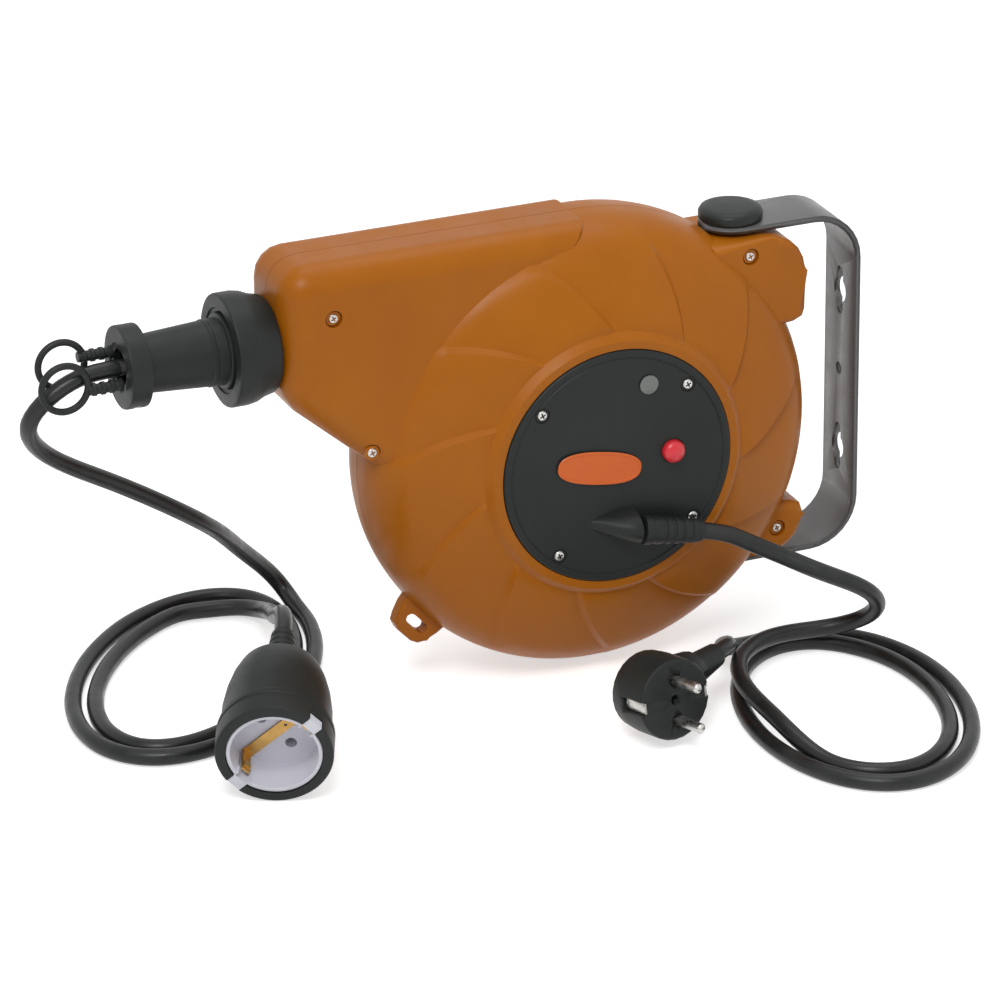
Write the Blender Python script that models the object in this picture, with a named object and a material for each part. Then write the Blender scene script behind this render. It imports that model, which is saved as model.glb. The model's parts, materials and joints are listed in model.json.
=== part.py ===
"""Spring-rewind extension cord reel on a swivelling wall bracket.

Metres, +Z up. The origin is on the wall-side face of the bracket, level with the
drum axis. +X points into the wall, -Y is the front, where the round cover is.
"""
import math

import bmesh
import bpy
import numpy as np
from mathutils import Matrix, Vector

# ---------------------------------------------------------------- driving sizes
GAP = 0.0003                    # clearance between pieces that seat on each other

# Drum housing
DRUM_TO_PIVOT = 0.077           # drum axis to the vertical swivel axis
PIVOT_TO_WALL = 0.060           # swivel axis to the wall
DRUM_RADIUS = 0.110             # outer radius of the round bulge
SHELL_DEPTH = 0.0445            # parting plane to the raised ring of the cover
WALL = 0.0030                   # moulded wall
RIM_WIDTH = 0.014               # rounded rim, outside the shoulder
RIM_RISE = 0.0170               # from the rim's shoulder up to the ring of the cover
RING_WIDTH = 0.0050             # raised ring round the cover
RING_FOOT = 0.0025              # width of the ring's outer slope
RING_RISE = 0.0040              # height of the ring over the sloped face

# Moulded swirl: one step in the sloped face for each crease
CREASES = 11
CREASE_START = math.radians(91.0)
CREASE_LEAN = math.radians(16.0)
CREASE_STEP = 0.0026
CREASE_RISER = 0.055            # share of a sector taken by the riser
STATIONS = 4                    # mesh columns in one sector

# Nose, the block that leads the cable out
NOSE_LEFT = 0.152               # drum axis to the left wall
NOSE_TOE_INSET = 0.006          # where the lower edge meets the drum, inside its rim
NOSE_TOE_HEIGHT = 0.005
NOSE_DEPTH = 0.0245
NOSE_ROUND = 0.0125             # rounded front edge
CABLE_DROP = 0.0405             # top of the nose down to the cable
CABLE_RISE = 0.0245             # lower left corner of the nose up to the cable

# Corner lugs that carry the swivel
LUG_REACH = 0.029               # past the swivel axis
LUG_TOP_DROP = 0.0215           # below the top of the drum
LUG_BOTTOM_RISE = 0.0400        # above its lowest point
LUG_DEPTH = 0.0225
LUG_CORNER = 0.018
LUG_END = 0.045                 # height where a lug stops short of the drum's level
SWIVEL_LIMIT = math.radians(45.0)

# Wall bracket
STRAP_WIDTH = 0.030
STRAP_THICKNESS = 0.0030
BEND_RADIUS = 0.024             # outer radius of both bends
PIN_RADIUS = 0.0040
BUSH_WALL = 0.0018
BUSH_FLANGE = 0.0010
BUSH_FLANGE_RADIUS = 0.0120
BUSH_LENGTH = 0.014
BOLT_HEAD_RADIUS = 0.0080
BOLT_HEAD = 0.0025
CAP_RADIUS = 0.0150
CAP_HEIGHT = 0.0062
KEYHOLE_HEIGHT = 0.024
KEYHOLE_SLOT = 0.0060
KEYHOLE_EYE = 0.0060            # radius of the wide middle
KEYHOLE_LEVELS = (0.048, -0.031)
MIDDLE_HOLE_LEVEL = 0.0085
MIDDLE_HOLE_RADIUS = 0.0030

# Front cover
COVER_RADIUS = 0.0565
COVER_THICKNESS = 0.0030
COVER_PROUD = 0.0010            # cover's face in front of the raised ring
COVER_SCREW_REACH = 0.0085
COVER_SCREW_INSET = 0.0075      # from the cover's edge
COVER_SCREW_ANGLES = (45.0, 140.0, 233.0, 320.0)
BADGE_CENTRE = (-0.0098, 0.0013)
BADGE_HALF = (0.021, 0.008)
BADGE_THICKNESS = 0.0012
BUTTON_PLACE = (0.0273, 0.0031)
BUTTON_RADIUS = 0.0055
BUTTON_TRAVEL = 0.0020
CUTOUT_SIZE = (0.0130, 0.0200)
CUTOUT_THICKNESS = 0.0090
LENS_PLACE = (0.0150, 0.0380)
LENS_RADIUS = 0.0045
HOOD_LEFT = -0.0115
HOOD_RIGHT = 0.0070
HOOD_LEVEL = -0.0295
HOOD_HALF = 0.0085
HOOD_HEIGHT = 0.0165
CABLE_RADIUS = 0.0040
RELIEF_STEP = 0.0013            # from the hood's end to the strain relief
RELIEF_DROP = 0.0002
RELIEF_LENGTH = 0.0295
RELIEF_BASE = 0.0068
RELIEF_TIP = 0.0052
CABLE_STANDOFF = 0.0085         # supply cable axis in front of the cover

# Nose fittings, all turned about the cable axis
MOUTH_RADIUS = 0.0150
BELL_RADIUS = 0.0260
BELL_NECK = 0.0215
BELL_LENGTH = 0.0220
BARREL_BASE = 0.0155
BARREL_TIP = 0.01325
BARREL_LENGTH = 0.0380
BORE = 0.0085
COLLAR_RADIUS = 0.0190
COLLAR_LENGTH = 0.0100
LOOP_RADIUS = 0.0108            # centre line of a guide loop
LOOP_BAR = 0.0016
LOOP_STEM = 0.0150
LOOP_SPREAD = 0.0064            # half the space between the two loops
LOOP_STEP = 0.0030              # one loop stands higher than the other

# Drum and what turns with it
FLANGE_CLEARANCE = 0.0010       # drum flange to the inside of the shoulder
FLANGE_SIDE_GAP = 0.0045        # drum flange to the level of the shoulder
FLANGE_WALL = 0.0025
CORE_RADIUS = 0.0400
CORE_WALL = 0.0030
WOUND_RADIUS = 0.0740
ARBOR_RADIUS = 0.0070
HUB_RADIUS = 0.0120
SLIP_RING_RADIUS = 0.0170
SLIP_RING_WIDTH = 0.0025
BRUSH_LENGTH = 0.0050
BRUSH_HOLDER = (0.0090, 0.0070)  # width, and half its height
SLIP_RING_PITCH = 0.0040
SPRING_TURNS = 4
SPRING_STRIP = 0.0010
SPRING_WIDTH = 0.026
SPRING_FACETS = 12              # in one turn
RATCHET_TEETH = 12
RATCHET_RADIUS = 0.046
RATCHET_TOOTH = 0.0045
RATCHET_WIDTH = 0.0040
PAWL_PLACE = (0.0280, 0.0530)
PAWL_TIP_ANGLE = 84.0
PAWL_HUB = 0.0042
PAWL_PIN = 0.0020
ROLLER_RADIUS = 0.0050
ROLLER_PIN = 0.0020

# Screws
SCREW_HEAD = 0.0035
SCREW_HEAD_DEPTH = 0.0020
SCREW_SHANK = 0.0018
SCREW_REACH = 0.0100            # how far a shell screw goes into the rear half
LOCK_SCREW_STOP = -0.0080       # the upper lug's screw stops short, at the swivel bush
NOSE_SCREW_INSET = 0.0230       # upper nose screw to the left wall
NOSE_SCREW_DROP = 0.0240        # and to the top of the nose
TOE_SCREW_OUT = 0.0015          # lower nose screw outside the drum's radius
TOE_SCREW_HEIGHT = 0.0180
LUG_ROUND = 0.004
LUG_SCREW_UPPER = (0.0, 0.0070)     # past the swivel axis, and inside the lug's level
LUG_SCREW_LOWER = (0.0150, 0.0130)

# Cords: free stretches and coils on the floor
CORD_STEP = 0.0180              # one point each 2.25 diameters
COIL_STEP = 15                  # degrees between the points of a coil
DENSE_STEP = 0.0020
CORD_LEVEL = -0.1080            # centre of a cord that lies on the floor
RELIEF_AXIS = Vector((0.985, -0.05, -0.17))
SUPPLY_COIL = Vector((-0.0500, -0.1151, CORD_LEVEL))
SUPPLY_COIL_WIDE = Vector((-0.0411, 0.0372, 0))
SUPPLY_COIL_DEEP = Vector((-0.0313, -0.0690, 0))
SUPPLY_STATIONS = (             # angle round the coil, inset, lift
    (0, 0.0, 0.0098), (35, 0.0074, 0.0072), (70, 0.0094, 0.0), (110, 0.0120, 0.0),
    (180, 0.0098, 0.0), (255, 0.0096, 0.0), (345, 0.0, 0.0), (630, 0.0, 0.0),
)
SUPPLY_LEAD = (
    (-0.0812, -0.0575, -0.0412), (-0.0655, -0.0640, -0.0490), (-0.0480, -0.0755, -0.0570),
    (-0.0290, -0.0815, -0.0660), (-0.0175, -0.0740, -0.0800), (-0.0205, -0.0600, -0.0930),
    (-0.0362, -0.0510, -0.0983), (-0.0566, -0.0495, -0.0980), (-0.0725, -0.0545, -0.0980),
    (-0.0832, -0.0635, -0.0981),
)
SUPPLY_TAIL = ((-0.0380, -0.0317, -0.1080), (-0.0598, -0.0338, -0.1080), (-0.0876, -0.0515, -0.0972))
OUTLET_COIL = Vector((-0.3117, 0.0444, CORD_LEVEL))
OUTLET_COIL_WIDE = Vector((0.0496, -0.0198, 0))
OUTLET_COIL_DEEP = Vector((-0.0470, -0.0766, 0))
OUTLET_STATIONS = (
    (-30, 0.0, 0.0), (210, 0.0, 0.0), (330, 0.0094, 0.0), (480, 0.0098, 0.0), (585, 0.0112, 0.0),
)
OUTLET_INNER = (0.070, 0.030)   # where the cord runs level inside the nose, behind its mouth
OUTLET_LEAD = (
    (-0.3857, 0.0, 0.0649), (-0.4001, 0.0015, 0.0525), (-0.3968, 0.0130, 0.0359),
    (-0.3800, 0.0240, 0.0184), (-0.3554, 0.0320, 0.0019), (-0.3080, 0.0440, -0.0314),
    (-0.2640, 0.0940, -0.0790), (-0.2462, 0.1010, -0.1000), (-0.2434, 0.0846, -0.1075),
)
OUTLET_TAIL = (
    (-0.2816, 0.1052, -0.1074), (-0.2686, 0.1020, -0.1046), (-0.2620, 0.0870, -0.1018),
    (-0.2667, 0.0723, -0.1005), (-0.2825, 0.0411, -0.0799),
)
SOCKET_RIM = Vector((-0.3257, -0.0934, -0.0862))
SOCKET_AXIS = Vector((0.4024, 0.8876, 0.2250))
SOCKET_LENGTH = 0.0620
SOCKET_RELIEF = 0.0250
SOCKET_RADIUS = 0.0265
SOCKET_BACK = 0.0200
INSERT_RADIUS = 0.0215
RECESS_RADIUS = 0.0197
RECESS_DEPTH = 0.0175
PIN_PITCH = 0.0190
PIN_HOLE = 0.0027
SOCKET_PINS = Vector((1.0, 0, 0.35))  # side on which the pin holes lie
PLUG_FACE = Vector((-0.1384, -0.1113, -0.0885))
PLUG_AXIS = Vector((0.190, -0.970, 0.150))
PLUG_RADIUS = 0.0190
PLUG_DEPTH = 0.0270
PLUG_NECK = Vector((0.875, 0.480, 0.066))
PLUG_REACH = 0.0443             # middle of the body to the end of the neck
PLUG_PIN_RADIUS = 0.0024
PLUG_PIN_LENGTH = 0.0190

# Moulded details of the shells
EYELET_REACH = 0.0135
EYELET_HALF = 0.0125
EYELET_SLOT = 0.0050
EYELET_SLOT_LENGTH = 0.0130
EYELET_SLOT_OUT = 0.0055        # middle of the slot outside the rim
EYELET_ANGLE = math.radians(223.0)
EYELET_DEPTH = 0.0070
BOSS_RADIUS = 0.0045
COVER_BOSS_FOOT = 0.0130        # foot of a cover boss below the ring
COVER_LEDGE = 0.0135            # cover's edge to the opening behind it
ARBOR_BOSS_RADIUS = 0.0130

ARBOR_BOSS_FOOT = 0.0145
ARBOR_END = 0.0045

# ---------------------------------------------------------------- derived places
AXIS_X = -(DRUM_TO_PIVOT + PIVOT_TO_WALL)
PIVOT_X = -PIVOT_TO_WALL
NOSE_X = AXIS_X - NOSE_LEFT
ARM_GAP = BUSH_FLANGE + 2 * GAP
COVER_FACE = -(SHELL_DEPTH + COVER_PROUD)
SHOULDER_RADIUS = DRUM_RADIUS - RIM_WIDTH
RING_OUTER = COVER_RADIUS + RING_WIDTH
COVER_SCREW_RING = COVER_RADIUS - COVER_SCREW_INSET
COVER_OPENING = COVER_RADIUS - COVER_LEDGE
COVER_BOSS_DEPTH = SHELL_DEPTH - COVER_BOSS_FOOT
ARBOR_BOSS_DEPTH = SHELL_DEPTH - ARBOR_BOSS_FOOT
ARBOR_SEAT = SHELL_DEPTH - ARBOR_END
CUTOUT_FACE = SHELL_DEPTH - 0.0085
CUTOUT_BACK = CUTOUT_FACE - CUTOUT_THICKNESS
SLIP_STACK_END = SHELL_DEPTH - 0.0090
SHOULDER_DEPTH = SHELL_DEPTH - RIM_RISE
FLANGE_HALF = SHOULDER_DEPTH - FLANGE_SIDE_GAP
RATCHET_END = FLANGE_HALF + 0.0050
LUG_RIGHT = DRUM_TO_PIVOT + LUG_REACH
LUG_TOP = DRUM_RADIUS - LUG_TOP_DROP
LUG_BOTTOM = LUG_BOTTOM_RISE - DRUM_RADIUS
FACE_RADIUS = RING_OUTER + RING_FOOT
FACE_DEPTH = SHELL_DEPTH - RING_RISE
FLANGE_RADIUS = SHOULDER_RADIUS - WALL - FLANGE_CLEARANCE
NOSE_TOE = (NOSE_TOE_INSET - DRUM_RADIUS, NOSE_TOE_HEIGHT)
CABLE_HEIGHT = DRUM_RADIUS - CABLE_DROP
NOSE_FLOOR = CABLE_HEIGHT - CABLE_RISE
PIVOT_BORE = PIN_RADIUS + BUSH_WALL + 2 * GAP
RELIEF_START = Vector((AXIS_X + HOOD_RIGHT + RELIEF_STEP, COVER_FACE - CABLE_STANDOFF,
                       HOOD_LEVEL - RELIEF_DROP))
SHELL_SCREWS = {                # right, up, depth of the face, reach past the parting plane
    "nose_screw_upper": (NOSE_SCREW_INSET - NOSE_LEFT, DRUM_RADIUS - NOSE_SCREW_DROP, NOSE_DEPTH,
                         SCREW_REACH),
    "nose_screw_lower": (-DRUM_RADIUS - TOE_SCREW_OUT, TOE_SCREW_HEIGHT, NOSE_DEPTH, SCREW_REACH),
    "lug_screw_upper": (DRUM_TO_PIVOT + LUG_SCREW_UPPER[0], LUG_TOP - LUG_SCREW_UPPER[1], LUG_DEPTH,
                        LOCK_SCREW_STOP),
    "lug_screw_lower": (DRUM_TO_PIVOT + LUG_SCREW_LOWER[0], LUG_BOTTOM + LUG_SCREW_LOWER[1], LUG_DEPTH,
                        SCREW_REACH),
}
FRONT = Vector((0, -1, 0))
LEFT = Vector((-1, 0, 0))
UP = Vector((0, 0, 1))
# The exact solver leaves open edges on these two, whose cuts share the parting plane
CROWDED = ("front_shell", "rear_shell")
# Drawing plane of the housing: x right, y up, and height towards the front
FACE_ON = Matrix(((1, 0, 0, AXIS_X), (0, 0, -1, 0), (0, 1, 0, 0), (0, 0, 0, 1)))
# The same plane for the rear half: height towards the back
BACK_ON = Matrix(((1, 0, 0, AXIS_X), (0, 0, 1, 0), (0, 1, 0, 0), (0, 0, 0, 1)))


# ---------------------------------------------------------------- small tools
def clear_scene():
    for item in list(bpy.data.objects):
        bpy.data.objects.remove(item, do_unlink=True)


def finish(name, colour, roughness, metallic=0.0):
    """A plain Principled material."""
    mat = bpy.data.materials.new(name)
    mat.use_nodes = True
    shader = mat.node_tree.nodes["Principled BSDF"]
    shader.inputs["Base Color"].default_value = (*colour, 1.0)
    shader.inputs["Roughness"].default_value = roughness
    shader.inputs["Metallic"].default_value = metallic
    return mat


def as_object(name, mesh_data, mat, origin=(0, 0, 0), axis=UP, crisp=35.0):
    """Turn a bmesh into an object whose local Z lies along axis."""
    bmesh.ops.recalc_face_normals(mesh_data, faces=mesh_data.faces)
    mesh = bpy.data.meshes.new(name)
    mesh_data.to_mesh(mesh)
    mesh_data.free()
    mesh.shade_smooth()
    mesh.set_sharp_from_angle(angle=math.radians(crisp))
    obj = bpy.data.objects.new(name, mesh)
    obj.rotation_mode = "QUATERNION"
    obj.rotation_quaternion = UP.rotation_difference(Vector(axis))
    obj.location = origin
    if mat is not None:
        mesh.materials.append(mat)
    bpy.context.scene.collection.objects.link(obj)
    return obj


def turned(name, profile, mat, origin=(0, 0, 0), axis=UP, steps=24):
    """A body turned about axis from a closed profile of (radius, height) points."""
    body = bmesh.new()
    rings = []
    for radius, height in profile:
        if radius < 1e-6:
            rings.append([body.verts.new((0, 0, height))])
            continue
        ring = []
        for i in range(steps):
            angle = 2 * math.pi * i / steps
            ring.append(body.verts.new((radius * math.cos(angle), radius * math.sin(angle), height)))
        rings.append(ring)
    for low, high in zip(rings, rings[1:] + rings[:1]):
        if len(low) == 1 and len(high) == 1:
            continue
        for i in range(steps):
            j = (i + 1) % steps
            if len(low) == 1:
                body.faces.new((low[0], high[j], high[i]))
            elif len(high) == 1:
                body.faces.new((low[i], low[j], high[0]))
            else:
                body.faces.new((low[i], low[j], high[j], high[i]))
    return as_object(name, body, mat, origin, axis)


def rod(name, radius, start, end, mat, origin=(0, 0, 0), axis=UP, steps=16):
    """A plain round bar between two heights on its axis."""
    profile = [(0, start), (radius, start), (radius, end), (0, end)]
    return turned(name, profile, mat, origin, axis, steps)


def plate(name, outline, start, end, mat, to_world):
    """An outline in a plane, extruded between two heights and placed by a matrix."""
    body = bmesh.new()
    low = [body.verts.new((x, y, start)) for x, y in outline]
    high = [body.verts.new((x, y, end)) for x, y in outline]
    body.faces.new(list(reversed(low)))
    body.faces.new(high)
    count = len(outline)
    for i in range(count):
        j = (i + 1) % count
        body.faces.new((low[i], low[j], high[j], high[i]))
    bmesh.ops.transform(body, matrix=to_world, verts=body.verts)
    return as_object(name, body, mat)


def arc(centre, radius, first, last, steps):
    """Points on an arc, angles in degrees."""
    points = []
    for i in range(steps + 1):
        angle = math.radians(first + (last - first) * i / steps)
        points.append((centre[0] + radius * math.cos(angle), centre[1] + radius * math.sin(angle)))
    return points


def as_cutter(obj):
    obj.hide_render = True
    obj.display_type = "WIRE"
    return obj


def combine(target, other, operation):
    """Add a Boolean of other to target; other is then only a guide."""
    as_cutter(other)
    step = target.modifiers.new(operation.lower() + "_" + other.name, "BOOLEAN")
    step.operation = operation
    step.solver = "MANIFOLD" if target.name in CROWDED else "EXACT"
    step.object = other


def cut(target, *others):
    for other in others:
        combine(target, other, "DIFFERENCE")


def fuse(target, *others):
    for other in others:
        combine(target, other, "UNION")


def on_face(place, depth=0.0):
    """World point of a place on the drum's drawing plane, depth in front of the parting plane."""
    return Vector((AXIS_X + place[0], -depth, place[1]))


# ---------------------------------------------------------------- housing
def swirl_lean(radius):
    """How far a crease has turned at a radius, measured from its inner end."""
    share = (radius - FACE_RADIUS) / (SHOULDER_RADIUS - FACE_RADIUS)
    return CREASE_LEAN * min(max(share, 0.0), 1.15)


def bulge(name, mat, to_world, recess):
    """The round half shell: a sloped face with the moulded swirl, and a rounded rim."""
    rim = DRUM_RADIUS - SHOULDER_RADIUS
    rows = [
        (COVER_RADIUS - 0.0010, SHELL_DEPTH - recess, 0.0),
        (COVER_RADIUS + 0.0010, SHELL_DEPTH, 0.0),
        (RING_OUTER - 0.0010, SHELL_DEPTH, 0.0),
        (FACE_RADIUS, FACE_DEPTH, 0.35),
        (FACE_RADIUS + 0.006, FACE_DEPTH - 0.0022, 1.0),
        ((FACE_RADIUS + SHOULDER_RADIUS) / 2 + 0.003, (FACE_DEPTH + SHOULDER_DEPTH) / 2 - 0.0006, 1.0),
        (SHOULDER_RADIUS, SHOULDER_DEPTH, 0.95),
        (SHOULDER_RADIUS + 0.46 * rim, SHOULDER_DEPTH - 0.0047, 0.5),
        (SHOULDER_RADIUS + 0.78 * rim, SHOULDER_DEPTH - 0.0110, 0.15),
        (SHOULDER_RADIUS + 0.95 * rim, SHOULDER_DEPTH - 0.0185, 0.0),
        (DRUM_RADIUS, GAP / 2, 0.0),
    ]
    columns = []
    sector = 2 * math.pi / CREASES
    for crease in range(CREASES):
        for station in range(STATIONS):
            share = (1.0 - CREASE_RISER) * station / (STATIONS - 1)
            height = 0.0 if station == STATIONS - 1 else 1.0 - share
            columns.append((CREASE_START + sector * (crease + share), height))
    body = bmesh.new()
    grid = []
    for radius, depth, swell in rows:
        ring = []
        for angle, height in columns:
            turn = angle + swirl_lean(radius)
            lift = depth + swell * CREASE_STEP * height
            ring.append(body.verts.new((radius * math.cos(turn), radius * math.sin(turn), lift)))
        grid.append(ring)
    count = len(columns)
    for inner, outer in zip(grid, grid[1:]):
        for i in range(count):
            j = (i + 1) % count
            body.faces.new((inner[i], outer[i], outer[j], inner[j]))
    body.faces.new(grid[0])
    body.faces.new(list(reversed(grid[-1])))
    bmesh.ops.transform(body, matrix=to_world, verts=body.verts)
    return as_object(name, body, mat)


def block(name, outline, depth, mat, to_world, edge=0.0, start=GAP / 2, segments=4):
    """An outline on the drawing plane, raised to a depth with a rounded front edge."""
    body = bmesh.new()
    low = [body.verts.new((x, y, start)) for x, y in outline]
    high = [body.verts.new((x, y, depth)) for x, y in outline]
    body.faces.new(list(reversed(low)))
    top = body.faces.new(high)
    count = len(outline)
    for i in range(count):
        j = (i + 1) % count
        body.faces.new((low[i], low[j], high[j], high[i]))
    if edge > 0:
        bmesh.ops.bevel(body, geom=list(top.edges), offset=edge, offset_type="OFFSET",
                        segments=segments, profile=0.5, affect="EDGES", clamp_overlap=True)
    bmesh.ops.transform(body, matrix=to_world, verts=body.verts)
    return as_object(name, body, mat)


def nose_outline(inset=0.0):
    """Side view of the nose: a box whose lower edge slopes back to the drum."""
    left = -(NOSE_LEFT - inset)
    top = DRUM_RADIUS - inset
    slope = Vector((NOSE_TOE[0] + NOSE_LEFT, NOSE_TOE[1] - NOSE_FLOOR)).normalized()
    inward = Vector((-slope.y, slope.x)) * inset
    corner = Vector((-NOSE_LEFT, NOSE_FLOOR)) + inward + slope * inset * 0.6
    toe = Vector(NOSE_TOE) + inward
    top_round = NOSE_ROUND + 0.0015 - inset * 0.6
    outline = [(-0.004 - inset, 0.002 + inset), (-0.004 - inset, top)]
    outline += arc((left + top_round, top - top_round), top_round, 90, 180, 4)
    outline += [(left, corner.y + 0.010)]
    outline += [(left + 0.0022, corner.y + 0.0030), (corner.x + 0.0070, corner.y - 0.0045)]
    outline += [(toe.x, toe.y)]
    return outline


def lug_outline(level, end):
    """Corner lug between the drum and the level of the bracket's arm."""
    up = 1.0 if level > 0 else -1.0
    outline = [(0.045, up * 0.040), (LUG_RIGHT - 0.006, end), (LUG_RIGHT - 0.0012, end + up * 0.0022)]
    outline += [(LUG_RIGHT, end + up * 0.006)]
    corner = arc((LUG_RIGHT - LUG_CORNER, abs(level) - LUG_CORNER), LUG_CORNER, 0, 90, 5)
    outline += [(x, up * y) for x, y in corner]
    outline += [(0.058, level)]
    return outline


def eyelet_outline(slot):
    """Tab on the rim, or the slot through it, in the drawing plane."""
    out = Vector((math.cos(EYELET_ANGLE), math.sin(EYELET_ANGLE)))
    side = Vector((-out.y, out.x))
    if slot:
        middle = DRUM_RADIUS + EYELET_SLOT_OUT
        end = (EYELET_SLOT_LENGTH - EYELET_SLOT) / 2
        shape = arc((middle, end), EYELET_SLOT / 2, 0, 180, 4)
        shape += arc((middle, -end), EYELET_SLOT / 2, 180, 360, 4)
    else:
        tip = DRUM_RADIUS + EYELET_REACH
        root = DRUM_RADIUS - 0.010
        shape = [(root, -EYELET_HALF - 0.002), (DRUM_RADIUS + 0.003, -EYELET_HALF)]
        shape += arc((tip - 0.006, -EYELET_HALF + 0.008), 0.006, -80, 0, 2)
        shape += arc((tip - 0.006, EYELET_HALF - 0.008), 0.006, 0, 80, 2)
        shape += [(DRUM_RADIUS + 0.003, EYELET_HALF), (root, EYELET_HALF + 0.002)]
    points = [out * a + side * b for a, b in shape]
    return [(p.x, p.y) for p in points]


def cavity_profile(opening):
    """Inside of a half shell, wall by wall parallel to the outside."""
    inner = DRUM_RADIUS - WALL - 0.0005
    floor = FACE_DEPTH - WALL + 0.0005
    profile = [
        (0, -0.001),
        (inner, -0.001),
        (inner, 0.0070),
        (inner - 0.0020, 0.0140),
        (SHOULDER_RADIUS + 0.0030, SHOULDER_DEPTH - 0.0075),
        (SHOULDER_RADIUS - WALL, SHOULDER_DEPTH - WALL),
        (FACE_RADIUS + 0.0060, FACE_DEPTH - 2 * WALL),
        (RING_OUTER - 0.0015, floor),
    ]
    if opening:
        profile += [(COVER_OPENING, floor + 0.0015), (COVER_OPENING, 0.060), (0, 0.060)]
    else:
        profile += [(0, floor + 0.0005)]
    return profile


def swivel_pocket(name, level):
    """Room for the arm of the bracket over the whole swivel."""
    half = STRAP_WIDTH / 2 + 0.0012
    reach = 0.090
    limit = math.degrees(SWIVEL_LIMIT)
    outline = arc((0, 0), half, 90 + limit, 270 - limit, 6)
    for angle in (-limit, limit):
        start = outline[-1] if angle < 0 else outline[0]
        turn = math.radians(angle)
        outline.append((start[0] + reach * math.cos(turn), start[1] + reach * math.sin(turn)))
    low, high = (level, level + 0.035) if level > 0 else (level - 0.035, level)
    to_world = Matrix.Translation((PIVOT_X, 0, 0))
    return as_cutter(plate(name, outline, low, high, None, to_world))


def make_shell(name, mat, front):
    """One moulded half of the housing."""
    side = "front" if front else "rear"
    to_world = FACE_ON if front else BACK_ON
    out = FRONT if front else -FRONT
    centre = (AXIS_X, 0, 0)
    shell = bulge(name, mat, to_world, 0.0 if front else 0.0020)
    fuse(shell, block(side + "_nose", nose_outline(), NOSE_DEPTH, None, to_world, NOSE_ROUND))
    for word, level, end in (("_upper_lug", LUG_TOP, LUG_END), ("_lower_lug", LUG_BOTTOM, -LUG_END)):
        outline = lug_outline(level, end)
        fuse(shell, block(side + word, outline, LUG_DEPTH, None, to_world, LUG_ROUND, segments=2))
    if front:
        fuse(shell, block("eyelet_tab", eyelet_outline(False), EYELET_DEPTH, None, to_world, 0.002))
    cut(shell, turned(side + "_cavity", cavity_profile(front), None, centre, out, 24))
    cut(shell, block(side + "_nose_cavity", nose_outline(WALL), NOSE_DEPTH - WALL, None, to_world,
                     NOSE_ROUND - WALL, -0.001))
    if front:
        cut(shell, rod("cover_seat", COVER_RADIUS + GAP, -COVER_FACE - COVER_THICKNESS - GAP, 0.060, None,
                       centre, out, 32))
        cut(shell, block("eyelet_slot", eyelet_outline(True), 0.020, None, to_world, 0, -0.010))
        for i, place in enumerate(cover_screw_places()):
            boss = rod("cover_boss_%d" % i, BOSS_RADIUS, COVER_BOSS_DEPTH, FACE_DEPTH - 0.0005, None,
                       on_face(place), out)
            fuse(shell, boss)
            cut(shell, rod("cover_bore_%d" % i, SCREW_SHANK + GAP, COVER_BOSS_DEPTH + 0.001, 0.060, None,
                           on_face(place), out, 12))
    else:
        boss = rod("arbor_boss", ARBOR_BOSS_RADIUS, ARBOR_BOSS_DEPTH, FACE_DEPTH, None, centre, out, 24)
        fuse(shell, boss)
        cut(shell, rod("arbor_bore", ARBOR_RADIUS + GAP, 0.020, ARBOR_SEAT + GAP, None, centre, out, 24))
    for word, (x, y, depth, reach) in SHELL_SCREWS.items():
        place = on_face((x, y))
        if word.startswith("nose"):
            top = depth - WALL / 2
            fuse(shell, rod(side + "_boss_" + word, BOSS_RADIUS, GAP / 2, top, None, place, out))
        low, high = (-reach - GAP, depth + 0.010) if front else (-0.001, reach + GAP)
        if high > 0:
            cut(shell, rod(side + "_bore_" + word, SCREW_SHANK + GAP, low, high, None, place, out, 12))
        if front:
            cut(shell, rod("sink_" + word, SCREW_HEAD + GAP, depth - SCREW_HEAD_DEPTH - GAP, depth + 0.010,
                           None, place, out))
    cut(shell, rod(side + "_mouth", MOUTH_RADIUS, -0.010, WALL + 0.004, None,
                   (NOSE_X, 0, CABLE_HEIGHT), -LEFT, 24))
    for level, word in ((LUG_TOP, "upper"), (LUG_BOTTOM, "lower")):
        cut(shell, swivel_pocket(side + "_" + word + "_pocket", level))
        depth = BUSH_LENGTH + GAP
        low, high = (level - depth, level + 0.01) if level > 0 else (level - 0.01, level + depth)
        cut(shell, rod(side + "_" + word + "_pivot_bore", PIVOT_BORE, low, high, None, (PIVOT_X, 0, 0)))
    return shell


def cover_screw_places():
    places = []
    for angle in COVER_SCREW_ANGLES:
        turn = math.radians(angle)
        places.append((COVER_SCREW_RING * math.cos(turn), COVER_SCREW_RING * math.sin(turn)))
    return places


def screw(name, place, top, length, mat):
    """A round-headed screw facing the front, its head top at a depth."""
    low = top - SCREW_HEAD_DEPTH
    profile = [
        (0, low - length),
        (SCREW_SHANK, low - length),
        (SCREW_SHANK, low),
        (SCREW_HEAD, low),
        (SCREW_HEAD, top - 0.0007),
        (SCREW_HEAD * 0.72, top),
        (0, top),
    ]
    return turned(name, profile, mat, on_face(place), FRONT, 14)


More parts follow.
